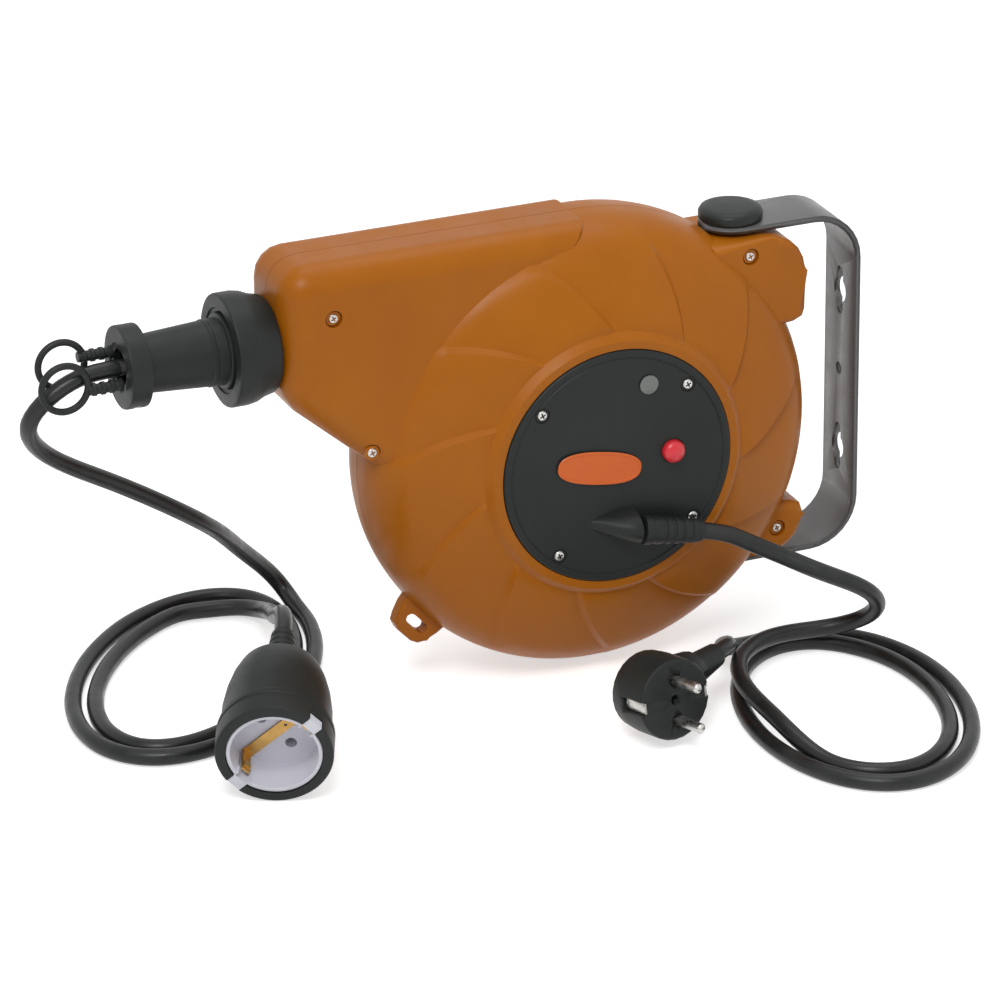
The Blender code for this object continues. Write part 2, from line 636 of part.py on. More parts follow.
# ---------------------------------------------------------------- wall bracket
def strap_path():
    """Stations along the bent strap: outer point, inward normal, and half width."""
    top = LUG_TOP + ARM_GAP + STRAP_THICKNESS
    bottom = LUG_BOTTOM - ARM_GAP - STRAP_THICKNESS
    half = STRAP_WIDTH / 2
    tip = PIVOT_X - half
    stations = []
    for level, inward in ((top, Vector((0, 0, -1))), (bottom, Vector((0, 0, 1)))):
        arm = []
        for i in range(8):
            angle = math.radians(11.0 + 79.0 * i / 7)
            x = tip + half * (1 - math.cos(angle))
            arm.append((Vector((x, 0, level)), inward, half * math.sin(angle)))
        bend_x = -BEND_RADIUS
        bend_z = level + inward.z * BEND_RADIUS
        for i in range(9):
            angle = math.radians(90.0 * i / 8)
            out = Vector((math.sin(angle), 0, -inward.z * math.cos(angle)))
            arm.append((Vector((bend_x, 0, bend_z)) + out * BEND_RADIUS, -out, half))
        stations.append(arm)
    return stations[0] + list(reversed(stations[1]))


def make_bracket(mat):
    body = bmesh.new()
    rings = []
    for point, inward, half in strap_path():
        inner = point + inward * STRAP_THICKNESS
        side = Vector((0, half, 0))
        rings.append([body.verts.new(p) for p in (point - side, point + side, inner + side, inner - side)])
    for low, high in zip(rings, rings[1:]):
        for i in range(4):
            j = (i + 1) % 4
            body.faces.new((low[i], low[j], high[j], high[i]))
    body.faces.new(list(reversed(rings[0])))
    body.faces.new(rings[-1])
    strap = as_object("wall_bracket", body, mat)
    to_wall = Matrix(((0, 0, 1, 0), (1, 0, 0, 0), (0, 1, 0, 0), (0, 0, 0, 1)))
    for i, level in enumerate(KEYHOLE_LEVELS):
        eye = math.degrees(math.asin(KEYHOLE_SLOT / 2 / KEYHOLE_EYE))
        reach = (KEYHOLE_HEIGHT - KEYHOLE_SLOT) / 2
        outline = arc((0, level), KEYHOLE_EYE, -90 + eye, 90 - eye, 6)
        outline += arc((0, level + reach), KEYHOLE_SLOT / 2, 0, 180, 5)
        outline += arc((0, level), KEYHOLE_EYE, 90 + eye, 270 - eye, 6)
        outline += arc((0, level - reach), KEYHOLE_SLOT / 2, 180, 360, 5)
        cut(strap, plate("keyhole_%d" % i, outline, -0.010, 0.010, None, to_wall))
    cut(strap, rod("middle_hole", MIDDLE_HOLE_RADIUS, -0.010, 0.010, None, (0, 0, MIDDLE_HOLE_LEVEL), -LEFT))
    for level, word in ((LUG_TOP, "upper"), (LUG_BOTTOM, "lower")):
        pin = PIN_RADIUS + GAP
        cut(strap, rod(word + "_arm_hole", pin, level - 0.008, level + 0.008, None, (PIVOT_X, 0, 0)))
    return strap


def make_swivel(metal, plastic):
    """Bolts, bushes and the cap on the vertical axis."""
    for word, level, up in (("top", LUG_TOP, 1), ("bottom", LUG_BOTTOM, -1)):
        seat = level + up * (ARM_GAP + STRAP_THICKNESS + GAP)
        foot = level - up * (BUSH_LENGTH - 0.001)
        crown = seat + up * BOLT_HEAD
        profile = [(0, foot), (PIN_RADIUS, foot), (PIN_RADIUS, seat), (BOLT_HEAD_RADIUS, seat)]
        profile += [(BOLT_HEAD_RADIUS, crown - up * 0.0008), (BOLT_HEAD_RADIUS * 0.75, crown), (0, crown)]
        turned(word + "_pivot_bolt", profile, metal, (PIVOT_X, 0, 0), UP, 20)
        bore = PIN_RADIUS + GAP
        sleeve = bore + BUSH_WALL
        flange = level + up * GAP
        profile = [(bore, level - up * BUSH_LENGTH), (sleeve, level - up * BUSH_LENGTH), (sleeve, flange)]
        profile += [(BUSH_FLANGE_RADIUS, flange), (BUSH_FLANGE_RADIUS, flange + up * BUSH_FLANGE)]
        profile += [(bore, flange + up * BUSH_FLANGE)]
        turned(word + "_pivot_bush", profile, plastic, (PIVOT_X, 0, 0), UP, 20)
    seat = LUG_TOP + ARM_GAP + STRAP_THICKNESS + GAP
    room = BOLT_HEAD_RADIUS + GAP
    ceiling = BOLT_HEAD + GAP
    profile = [(room, 0), (CAP_RADIUS - 0.0006, 0), (CAP_RADIUS, 0.0008), (CAP_RADIUS, CAP_HEIGHT * 0.55)]
    profile += [(CAP_RADIUS * 0.93, CAP_HEIGHT * 0.82), (CAP_RADIUS * 0.72, CAP_HEIGHT * 0.97)]
    profile += [(0, CAP_HEIGHT), (0, ceiling), (room, ceiling)]
    turned("top_pivot_cap", profile, plastic, (PIVOT_X, 0, seat), UP, 24)


# ---------------------------------------------------------------- front cover
def hood(name):
    """Moulded hood on the cover: a half round that swells to the cable outlet."""
    body = bmesh.new()
    rings = []
    for share in (0.0, 0.25, 0.5, 0.75, 1.0):
        x = HOOD_LEFT + (HOOD_RIGHT - HOOD_LEFT) * share
        half = HOOD_HALF * (0.12 + 0.88 * share ** 0.7)
        height = HOOD_HEIGHT * (0.05 + 0.95 * share ** 1.1)
        ring = []
        for i in range(9):
            angle = math.pi * i / 8
            level = HOOD_LEVEL + half * math.cos(angle) + 0.0030 * (1 - share)
            ring.append((x, level, COVER_THICKNESS / 2 + height * math.sin(angle) ** 0.8))
        rings.append([body.verts.new(p) for p in ring])
    for low, high in zip(rings, rings[1:]):
        for i in range(9):
            j = (i + 1) % 9
            body.faces.new((low[i], low[j], high[j], high[i]))
    body.faces.new(list(reversed(rings[0])))
    body.faces.new(rings[-1])
    lift = Matrix.Translation((0, COVER_FACE + COVER_THICKNESS, 0))
    bmesh.ops.transform(body, matrix=lift @ FACE_ON, verts=body.verts)
    return as_object(name, body, None)


def make_cover(plastic, metal, orange, grey):
    back = -COVER_FACE - COVER_THICKNESS
    centre = (AXIS_X, COVER_FACE + COVER_THICKNESS, 0)
    edge = COVER_RADIUS
    profile = [(0, 0), (edge - 0.0004, 0), (edge, 0.0004), (edge, COVER_THICKNESS - 0.0010)]
    profile += [(edge - 0.0003, COVER_THICKNESS - 0.0003), (edge - 0.0010, COVER_THICKNESS)]
    profile += [(0, COVER_THICKNESS)]
    cover = turned("front_cover", profile, plastic, centre, FRONT, 32)
    fuse(cover, hood("cable_hood"))
    for i, place in enumerate(cover_screw_places()):
        cut(cover, rod("cover_hole_%d" % i, SCREW_SHANK + GAP, -0.01, 0.06, None, on_face(place), FRONT, 12))
        top = -COVER_FACE + GAP + SCREW_HEAD_DEPTH
        screw("cover_screw_%d" % (i + 1), place, top, COVER_SCREW_REACH, metal)
    cut(cover, rod("button_hole", BUTTON_RADIUS + GAP, -0.01, 0.06, None, on_face(BUTTON_PLACE), FRONT, 20))
    foot = LENS_RADIUS - 0.0010
    cut(cover, rod("lens_hole", foot + GAP, -0.01, 0.06, None, on_face(LENS_PLACE), FRONT, 20))
    lens = [(0, back + 0.0002), (foot, back + 0.0002), (foot, -COVER_FACE + GAP)]
    lens += [(LENS_RADIUS, -COVER_FACE + GAP), (LENS_RADIUS, -COVER_FACE + 0.0009)]
    lens += [(0, -COVER_FACE + 0.0014)]
    turned("indicator_lens", lens, grey, on_face(LENS_PLACE), FRONT, 20)
    outline = []
    for i in range(28):
        angle = 2 * math.pi * i / 28
        flat = abs(math.sin(angle)) ** 0.8 * math.copysign(1, math.sin(angle))
        outline.append((BADGE_HALF[0] * math.cos(angle), BADGE_HALF[1] * flat))
    to_world = Matrix.Translation(on_face(BADGE_CENTRE, -COVER_FACE + GAP)) @ FACE_ON.to_3x3().to_4x4()
    plate("badge_plate", outline, 0, BADGE_THICKNESS, orange, to_world)
    return cover


def make_button(red, plastic):
    """Reset button, and the thermal cut-out that it works."""
    face = -COVER_FACE
    stem = CUTOUT_FACE + BUTTON_TRAVEL + GAP
    tip = CUTOUT_FACE - 0.003
    profile = [(0, tip), (0.0020, tip), (0.0020, stem), (BUTTON_RADIUS, stem)]
    profile += [(BUTTON_RADIUS, face + 0.0012), (BUTTON_RADIUS * 0.88, face + 0.0028)]
    profile += [(BUTTON_RADIUS * 0.55, face + 0.0038), (0, face + 0.0042)]
    turned("reset_button", profile, red, on_face(BUTTON_PLACE), FRONT, 20)
    wide, high = CUTOUT_SIZE
    outline = [(-wide / 2, -high / 2), (wide / 2, -high / 2), (wide / 2, high / 2), (-wide / 2, high / 2)]
    to_world = Matrix.Translation(on_face(BUTTON_PLACE)) @ FACE_ON.to_3x3().to_4x4()
    cutout = plate("thermal_cutout", outline, CUTOUT_BACK, CUTOUT_FACE, plastic, to_world)
    cut(cutout, rod("stem_bore", 0.0020 + GAP, CUTOUT_FACE - 0.003 - BUTTON_TRAVEL - GAP, 0.05, None,
                    on_face(BUTTON_PLACE), FRONT, 12))


# ---------------------------------------------------------------- nose fittings
def make_nose(plastic, metal):
    at = (NOSE_X, 0, CABLE_HEIGHT)
    neck = MOUTH_RADIUS - GAP
    face = BELL_LENGTH
    profile = [(BORE, -WALL + 0.0003), (neck, -WALL + 0.0003), (neck, GAP), (BELL_NECK, GAP)]
    profile += [(BELL_NECK + 0.0015, 0.0030), (BELL_RADIUS - 0.0014, 0.0085), (BELL_RADIUS, 0.0140)]
    profile += [(BELL_RADIUS, face - 0.0008), (BELL_RADIUS - 0.0008, face)]
    profile += [(BARREL_BASE + 0.0022, face), (BARREL_BASE + 0.0022, face - 0.0035), (BORE, face - 0.0035)]
    bell = turned("nose_bell", profile, plastic, at, LEFT, 24)
    place = Vector(at) + Vector((-BELL_LENGTH * 0.72, 0, -BELL_RADIUS))
    half = 0.0022
    drain = Matrix.Translation(place)
    cut(bell, plate("drain_hole", rectangle(half, half), -0.002, 0.0035, None, drain))
    foot = face - 0.0035 + GAP
    end = face + BARREL_LENGTH
    profile = [(BORE, foot), (BARREL_BASE + 0.0018, foot), (BARREL_BASE + 0.0018, face - GAP)]
    profile += [(BARREL_BASE, face)]
    profile += [(BARREL_BASE - 0.0002, face + 0.001), (BARREL_TIP, end), (BORE, end)]
    turned("nose_barrel", profile, plastic, at, LEFT, 20)
    start = end + GAP
    stop = start + COLLAR_LENGTH
    profile = [(BORE, start), (COLLAR_RADIUS - 0.0008, start), (COLLAR_RADIUS, start + 0.0008)]
    profile += [(COLLAR_RADIUS, stop - 0.0008), (COLLAR_RADIUS - 0.0008, stop), (BORE, stop)]
    collar = turned("nose_collar", profile, plastic, at, LEFT, 24)
    middle = Vector(at) + LEFT * (start + COLLAR_LENGTH / 2)
    for i, angle in enumerate((-152.0, 28.0)):
        turn = math.radians(angle)
        out = Vector((0, math.sin(turn), math.cos(turn)))
        cut(collar, rod("collar_bore_%d" % i, 0.0015 + GAP, BORE + 0.004, 0.03, None, middle, out, 10))
        sink = COLLAR_RADIUS - 0.0018
        cut(collar, rod("collar_sink_%d" % i, 0.0026 + GAP, sink, 0.03, None, middle, out, 14))
        profile = [(0, BORE + 0.005), (0.0015, BORE + 0.005), (0.0015, COLLAR_RADIUS - 0.0018 + GAP)]
        profile += [(0.0026, COLLAR_RADIUS - 0.0018 + GAP), (0.0026, COLLAR_RADIUS - 0.0003)]
        profile += [(0, COLLAR_RADIUS - 0.0003)]
        turned("collar_screw_%d" % (i + 1), profile, metal, middle, out, 12)
    for i, side in enumerate((-1, 1)):
        guide_loop("guide_loop_%s" % ("front" if side < 0 else "rear"), side, stop, plastic)
    return collar


def guide_loop(name, side, start, mat):
    """A ring on a ribbed stem; two of them hold the cable between them."""
    y = side * LOOP_SPREAD
    z = CABLE_HEIGHT + side * LOOP_STEP
    centre_x = NOSE_X - start - LOOP_STEM - LOOP_RADIUS + side * 0.0015
    body = bmesh.new()
    count, sides = 14, 6
    rings = []
    for i in range(count):
        angle = 2 * math.pi * i / count
        ring = []
        for k in range(sides):
            turn = 2 * math.pi * k / sides
            reach = LOOP_RADIUS + LOOP_BAR * math.cos(turn)
            ring.append(body.verts.new((centre_x + reach * math.cos(angle), y + LOOP_BAR * math.sin(turn),
                                        z + reach * math.sin(angle))))
        rings.append(ring)
    for i in range(count):
        low, high = rings[i], rings[(i + 1) % count]
        for k in range(sides):
            m = (k + 1) % sides
            body.faces.new((low[k], low[m], high[m], high[k]))
    loop = as_object(name, body, mat)
    profile = [(0, 0)]
    ribs = 4
    length = LOOP_STEM + 0.0015
    for i in range(ribs):
        low = length * i / ribs
        wide = length / ribs
        profile += [(0.0030, low + 0.0001), (0.0030, low + wide * 0.55)]
        profile += [(0.0024, low + wide * 0.6), (0.0024, low + wide * 0.98)]
    profile += [(0, length)]
    z_stem = z + side * 0.0025
    stem = turned(name + "_stem", profile, None, (NOSE_X - start - GAP, y, z_stem), LEFT, 8)
    fuse(loop, stem)
    return loop


def make_rollers(plastic, metal):
    """Two rollers inside the nose, above and below the cable, each on its pin."""
    x = NOSE_X + WALL + ROLLER_RADIUS + 0.0025
    half = 0.0140
    pin_end = NOSE_DEPTH - WALL - 3 * GAP
    for word, up in (("upper", 1), ("lower", -1)):
        z = CABLE_HEIGHT + up * (CABLE_RADIUS + 0.0006 + ROLLER_RADIUS)
        bore = ROLLER_PIN + GAP
        profile = [(bore, -half), (ROLLER_RADIUS + 0.001, -half), (ROLLER_RADIUS, -half * 0.7)]
        profile += [(ROLLER_RADIUS, half * 0.7), (ROLLER_RADIUS + 0.001, half), (bore, half)]
        turned("guide_roller_" + word, profile, plastic, (x, 0, z), FRONT, 12)
        rod("roller_pin_" + word, ROLLER_PIN, -pin_end, pin_end, metal, (x, 0, z), FRONT, 12)


# ---------------------------------------------------------------- drum
def make_drum(plastic, metal, rubber, copper):
    centre = (AXIS_X, 0, 0)
    bore = ARBOR_RADIUS + GAP
    wide = FLANGE_HALF
    inner = FLANGE_HALF - FLANGE_WALL
    core = CORE_RADIUS
    hollow = CORE_RADIUS - CORE_WALL
    collar = 0.0150
    for word, out, tail in (("front", FRONT, SLIP_STACK_END), ("rear", -FRONT, RATCHET_END)):
        profile = [(bore, tail), (HUB_RADIUS, tail), (HUB_RADIUS, wide), (FLANGE_RADIUS, wide)]
        profile += [(FLANGE_RADIUS, inner), (core, inner), (core, GAP / 2), (hollow, GAP / 2)]
        profile += [(hollow, inner), (HUB_RADIUS, inner), (HUB_RADIUS, collar), (bore, collar)]
        turned("drum_%s_half" % word, profile, plastic, centre, out, 20)
    cable = inner - GAP
    profile = [(core + GAP, -cable), (WOUND_RADIUS, -cable), (WOUND_RADIUS, cable), (core + GAP, cable)]
    turned("wound_cable", profile, rubber, centre, FRONT, 20)
    for i in range(3):
        low = FLANGE_HALF + GAP + SLIP_RING_PITCH * i
        high = low + SLIP_RING_WIDTH
        profile = [(HUB_RADIUS + GAP, low), (SLIP_RING_RADIUS, low), (SLIP_RING_RADIUS, high)]
        profile += [(HUB_RADIUS + GAP, high)]
        turned("slip_ring_%d" % (i + 1), profile, copper, centre, FRONT, 20)
    arbor = 0.0129
    middle = collar - GAP
    seat = ARBOR_SEAT
    profile = [(0, -seat), (ARBOR_RADIUS, -seat), (ARBOR_RADIUS, -middle), (arbor, -middle), (arbor, middle)]
    profile += [(ARBOR_RADIUS, middle), (ARBOR_RADIUS, SLIP_STACK_END + 0.001), (0, SLIP_STACK_END + 0.001)]
    turned("arbor_shaft", profile, metal, centre, FRONT, 24)
    spiral_spring(metal, arbor + 2 * GAP, hollow - 2 * GAP)
    ratchet(metal)
    brush_block(plastic)


def spiral_spring(mat, inner, outer):
    """Flat strip wound from the arbor out to the drum's core."""
    steps = SPRING_TURNS * SPRING_FACETS
    growth = (outer - SPRING_STRIP - inner) / steps
    body = bmesh.new()
    rings = []
    for i in range(steps + 1):
        angle = 2 * math.pi * i / SPRING_FACETS
        near = inner + growth * i
        ring = []
        for radius, y in ((near, -1), (near + SPRING_STRIP, -1), (near + SPRING_STRIP, 1), (near, 1)):
            ring.append(body.verts.new((AXIS_X + radius * math.cos(angle), y * SPRING_WIDTH / 2,
                                        radius * math.sin(angle))))
        rings.append(ring)
    for low, high in zip(rings, rings[1:]):
        for k in range(4):
            m = (k + 1) % 4
            body.faces.new((low[k], low[m], high[m], high[k]))
    body.faces.new(list(reversed(rings[0])))
    body.faces.new(rings[-1])
    return as_object("rewind_spring", body, mat)


def ratchet(mat):
    """Toothed wheel on the drum, and the pawl that stops the rewind."""
    outline = []
    for i in range(RATCHET_TEETH):
        angle = 2 * math.pi * i / RATCHET_TEETH
        pitch = 2 * math.pi / RATCHET_TEETH
        for share, radius in ((0.0, RATCHET_RADIUS), (0.06, RATCHET_RADIUS - RATCHET_TOOTH),
                              (0.5, RATCHET_RADIUS - RATCHET_TOOTH * 0.55)):
            turn = angle + share * pitch
            outline.append((radius * math.cos(turn), radius * math.sin(turn)))
    low = FLANGE_HALF + GAP
    wheel = block("ratchet_wheel", outline, low + RATCHET_WIDTH, mat, BACK_ON, 0, low)
    cut(wheel, rod("ratchet_bore", HUB_RADIUS + GAP, 0.01, 0.05, None, (AXIS_X, 0, 0), -FRONT, 20))
    hub = Vector(PAWL_PLACE)
    tip_angle = math.radians(PAWL_TIP_ANGLE)
    reach = RATCHET_RADIUS + 0.0008
    tip = Vector((reach * math.cos(tip_angle), reach * math.sin(tip_angle)))
    along = (tip - hub).normalized()
    side = Vector((-along.y, along.x))
    start = math.degrees(math.atan2(along.y, along.x))
    arm = arc((0, 0), PAWL_HUB, start + 40, start + 320, 10)
    arm = [(hub.x + x, hub.y + y) for x, y in arm]
    arm += [tuple(tip + side * -0.0006), tuple(tip + side * 0.0010)]
    pawl = block("ratchet_pawl", arm, low + RATCHET_WIDTH, mat, BACK_ON, 0, low)
    place = (AXIS_X + hub.x, 0, hub.y)
    cut(pawl, rod("pawl_bore", PAWL_PIN + GAP, 0.01, 0.05, None, place, -FRONT, 14))
    rod("pawl_pin", PAWL_PIN, low, FACE_DEPTH - WALL - 0.0005, mat, place, -FRONT, 14)
    return wheel


def brush_block(plastic):
    """Holder behind the cover with three carbon brushes on the slip rings."""
    near = SLIP_RING_RADIUS + GAP
    base = near + BRUSH_LENGTH
    top = -COVER_FACE - COVER_THICKNESS - GAP
    wide, half = BRUSH_HOLDER
    holder = [(-base - wide, -half), (-base, -half), (-base, half), (-base - wide, half)]
    holder = block("brush_block", holder, top, plastic, FACE_ON, 0, FLANGE_HALF + 0.0010)
    for i in range(3):
        low = FLANGE_HALF + GAP + SLIP_RING_PITCH * i + 0.0004
        root, end = -base - 0.001, -near - 0.0004
        reach = [(root, -0.0020), (end, -0.0020), (end, 0.0020), (root, 0.0020)]
        fuse(holder, block("brush_%d" % (i + 1), reach, low + 0.0017, None, FACE_ON, 0, low))


# ---------------------------------------------------------------- cords
def smooth_route(points, first, last):
    """The hand-picked points joined by one smooth cubic that leaves and arrives straight."""
    ends = [points[0]] + [points[0] + first * 2 * CABLE_RADIUS] + list(points[1:-1])
    ends += [points[-1] - last * 2 * CABLE_RADIUS, points[-1]]
    knots = ends[1:-1]
    count = len(knots)
    chord = [(b - a).length for a, b in zip(knots, knots[1:])]
    matrix = np.eye(count)
    slopes = np.zeros((count, 3))
    slopes[0] = first
    slopes[-1] = last
    for i in range(1, count - 1):
        before, after = chord[i - 1], chord[i]
        matrix[i, i - 1:i + 2] = (after, 2 * (before + after), before)
        rise, fall = knots[i] - knots[i - 1], knots[i + 1] - knots[i]
        slopes[i] = 3 * (after / before * rise + before / after * fall)
    slopes = [Vector(row) for row in np.linalg.solve(matrix, slopes)]
    route = [ends[0]]
    for i in range(count - 1):
        pieces = max(1, round(chord[i] / CORD_STEP))
        for k in range(pieces):
            t = k / pieces
            start = knots[i] * (1 + 2 * t) * (1 - t) ** 2 + slopes[i] * chord[i] * t * (1 - t) ** 2
            stop = knots[i + 1] * t ** 2 * (3 - 2 * t) + slopes[i + 1] * chord[i] * t ** 2 * (t - 1)
            route.append(start + stop)
    return route + ends[-2:]


def coil_route(centre, wide, deep, stations):
    """Turns of a coil on the floor: an oval, with each station's inset and lift on the way round."""
    route = []
    first, last = stations[0][0], stations[-1][0]
    for angle in range(first, last + 1, COIL_STEP):
        for low, high in zip(stations, stations[1:]):
            if low[0] <= angle <= high[0]:
                share = (angle - low[0]) / (high[0] - low[0])
                ease = share * share * (3 - 2 * share)
                inset = low[1] + (high[1] - low[1]) * ease
                lift = low[2] + (high[2] - low[2]) * ease
        turn = math.radians(angle)
        place = wide * math.cos(turn) + deep * math.sin(turn)
        along = (deep * math.cos(turn) - wide * math.sin(turn)).normalized()
        inward = Vector((-along.y, along.x, 0))
        if inward.dot(place) > 0:
            inward = -inward
        route.append(centre + place + inward * inset + UP * lift)
    return route


def heading(route, end=False):
    """Direction of a route at its start, or at its end."""
    a, b = (route[-2], route[-1]) if end else (route[0], route[1])
    return (b - a).normalized()


def cord(name, route, mat, resolution):
    """A round cord along the route, as a curve with closed ends."""
    curve = bpy.data.curves.new(name, "CURVE")
    curve.dimensions = "3D"
    curve.bevel_depth = CABLE_RADIUS
    curve.bevel_resolution = resolution
    curve.use_fill_caps = True
    line = curve.splines.new("POLY")
    line.points.add(len(route) - 1)
    for point, place in zip(line.points, route):
        point.co = (place.x, place.y, place.z, 1)
    curve.materials.append(mat)
    obj = bpy.data.objects.new(name, curve)
    bpy.context.collection.objects.link(obj)
    return obj


def least_gap(route, other=None):
    """Smallest distance between two cords' surfaces, or between the turns of one."""
    fine = densify(route)
    second = fine if other is None else densify(other)
    skip = int(60 * CABLE_RADIUS / DENSE_STEP * 0.25)
    least = 1.0
    for i, place in enumerate(fine):
        rest = second[i + skip:] if other is None else second
        for there in rest:
            least = min(least, (place - there).length)
    return least - 2 * CABLE_RADIUS


def densify(route):
    out = []
    for a, b in zip(route, route[1:]):
        pieces = max(1, round((b - a).length / DENSE_STEP))
        out += [a.lerp(b, k / pieces) for k in range(pieces)]
    return out + [route[-1]]


def tightest_bend(route):
    """Smallest radius of the circle through three points in a row."""
    least = 10.0
    for a, b, c in zip(route, route[1:], route[2:]):
        area = (b - a).cross(c - a).length
        if area > 1e-9:
            least = min(least, (b - a).length * (c - b).length * (a - c).length / (2 * area))
    return least


def make_supply_cord(rubber, plastic):
    """Cord out of the cover's hood, down to a coil on the floor, and on to the plug."""
    coil = coil_route(SUPPLY_COIL, SUPPLY_COIL_WIDE, SUPPLY_COIL_DEEP, SUPPLY_STATIONS)
    out = RELIEF_AXIS.normalized()
    tip = RELIEF_START + out * RELIEF_LENGTH
    profile = [(0, 0), (RELIEF_BASE, 0), (RELIEF_BASE, 0.0035), (RELIEF_BASE - 0.0006, 0.0045)]
    profile += [(RELIEF_TIP + 0.0004, RELIEF_LENGTH - 0.0050), (RELIEF_TIP, RELIEF_LENGTH)]
    profile += [(0, RELIEF_LENGTH)]
    turned("supply_strain_relief", profile, plastic, RELIEF_START, out, 14)
    start = tip + out * GAP
    lead_end = coil[0] - heading(coil) * GAP
    lead = smooth_route([start] + [Vector(p) for p in SUPPLY_LEAD] + [lead_end], out, heading(coil))
    neck = PLUG_NECK.normalized()
    plug_middle = PLUG_FACE - PLUG_AXIS.normalized() * PLUG_DEPTH / 2
    plug_entry = plug_middle + neck * (PLUG_REACH + GAP)
    tail_start = coil[-1] + heading(coil, True) * GAP
    tail = smooth_route([tail_start] + [Vector(p) for p in SUPPLY_TAIL] + [plug_entry],
                        heading(coil, True), -neck)
    cord("supply_cord_lead", lead, rubber, 2)
    cord("supply_cord_coil", coil, rubber, 1)
    cord("supply_cord_tail", tail, rubber, 2)
    report("supply cord", lead, coil, tail)


def make_outlet_cord(rubber):
    """Cord out of the nose, down to a coil on the floor, and on to the socket."""
    mouth = Vector((NOSE_X - BELL_LENGTH - BARREL_LENGTH - GAP - COLLAR_LENGTH, 0, CABLE_HEIGHT))
    wound = Vector((AXIS_X, 0, WOUND_RADIUS + CABLE_RADIUS + GAP))
    inner = [wound] + [Vector((NOSE_X + inside, 0, CABLE_HEIGHT)) for inside in OUTLET_INNER] + [mouth]
    cord("outlet_cord_inner", smooth_route(inner, LEFT, LEFT), rubber, 2)
    coil = coil_route(OUTLET_COIL, OUTLET_COIL_WIDE, OUTLET_COIL_DEEP, OUTLET_STATIONS)
    lead_end = coil[0] - heading(coil) * GAP
    lead = [mouth + LEFT * GAP] + [Vector(p) for p in OUTLET_LEAD] + [lead_end]
    lead = smooth_route(lead, LEFT, heading(coil))
    back = SOCKET_AXIS.normalized()
    entry = SOCKET_RIM + back * (SOCKET_LENGTH + SOCKET_RELIEF + GAP)
    tail_start = coil[-1] + heading(coil, True) * GAP
    tail = [tail_start] + [Vector(p) for p in OUTLET_TAIL] + [entry]
    tail = smooth_route(tail, heading(coil, True), -back)
    cord("outlet_cord_lead", lead, rubber, 2)
    cord("outlet_cord_coil", coil, rubber, 1)
    cord("outlet_cord_tail", tail, rubber, 2)
    report("outlet cord", lead, coil, tail)


def report(name, lead, coil, tail):
    """Prints a cord's length, its tightest bends and the gaps between its stretches."""
    length = sum((b - a).length for route in (lead, coil, tail) for a, b in zip(route, route[1:]))
    bends = [round(tightest_bend(route) * 1000, 1) for route in (lead, coil, tail)]
    gaps = [least_gap(coil), least_gap(lead[:-3], coil[2:]), least_gap(tail[3:], coil[:-2])]
    gaps.append(least_gap(lead, tail))
    print(name, "length", round(length, 3), "bends mm", bends)
    print("  gaps mm: coil itself, lead-coil, tail-coil, lead-tail", [round(g * 1000, 2) for g in gaps])


# ---------------------------------------------------------------- plug and socket
def place_frame(centre, axis, side):
    """Matrix with z along the axis and x towards the side direction."""
    out = axis.normalized()
    across = (side - out * side.dot(out)).normalized()
    up = out.cross(across)
    frame = Matrix((across, up, out)).transposed().to_4x4()
    return Matrix.Translation(centre) @ frame


def rectangle(half_wide, half_high):
    low, high = (-half_wide, -half_high), (half_wide, half_high)
    return [low, (high[0], low[1]), high, (low[0], high[1])]


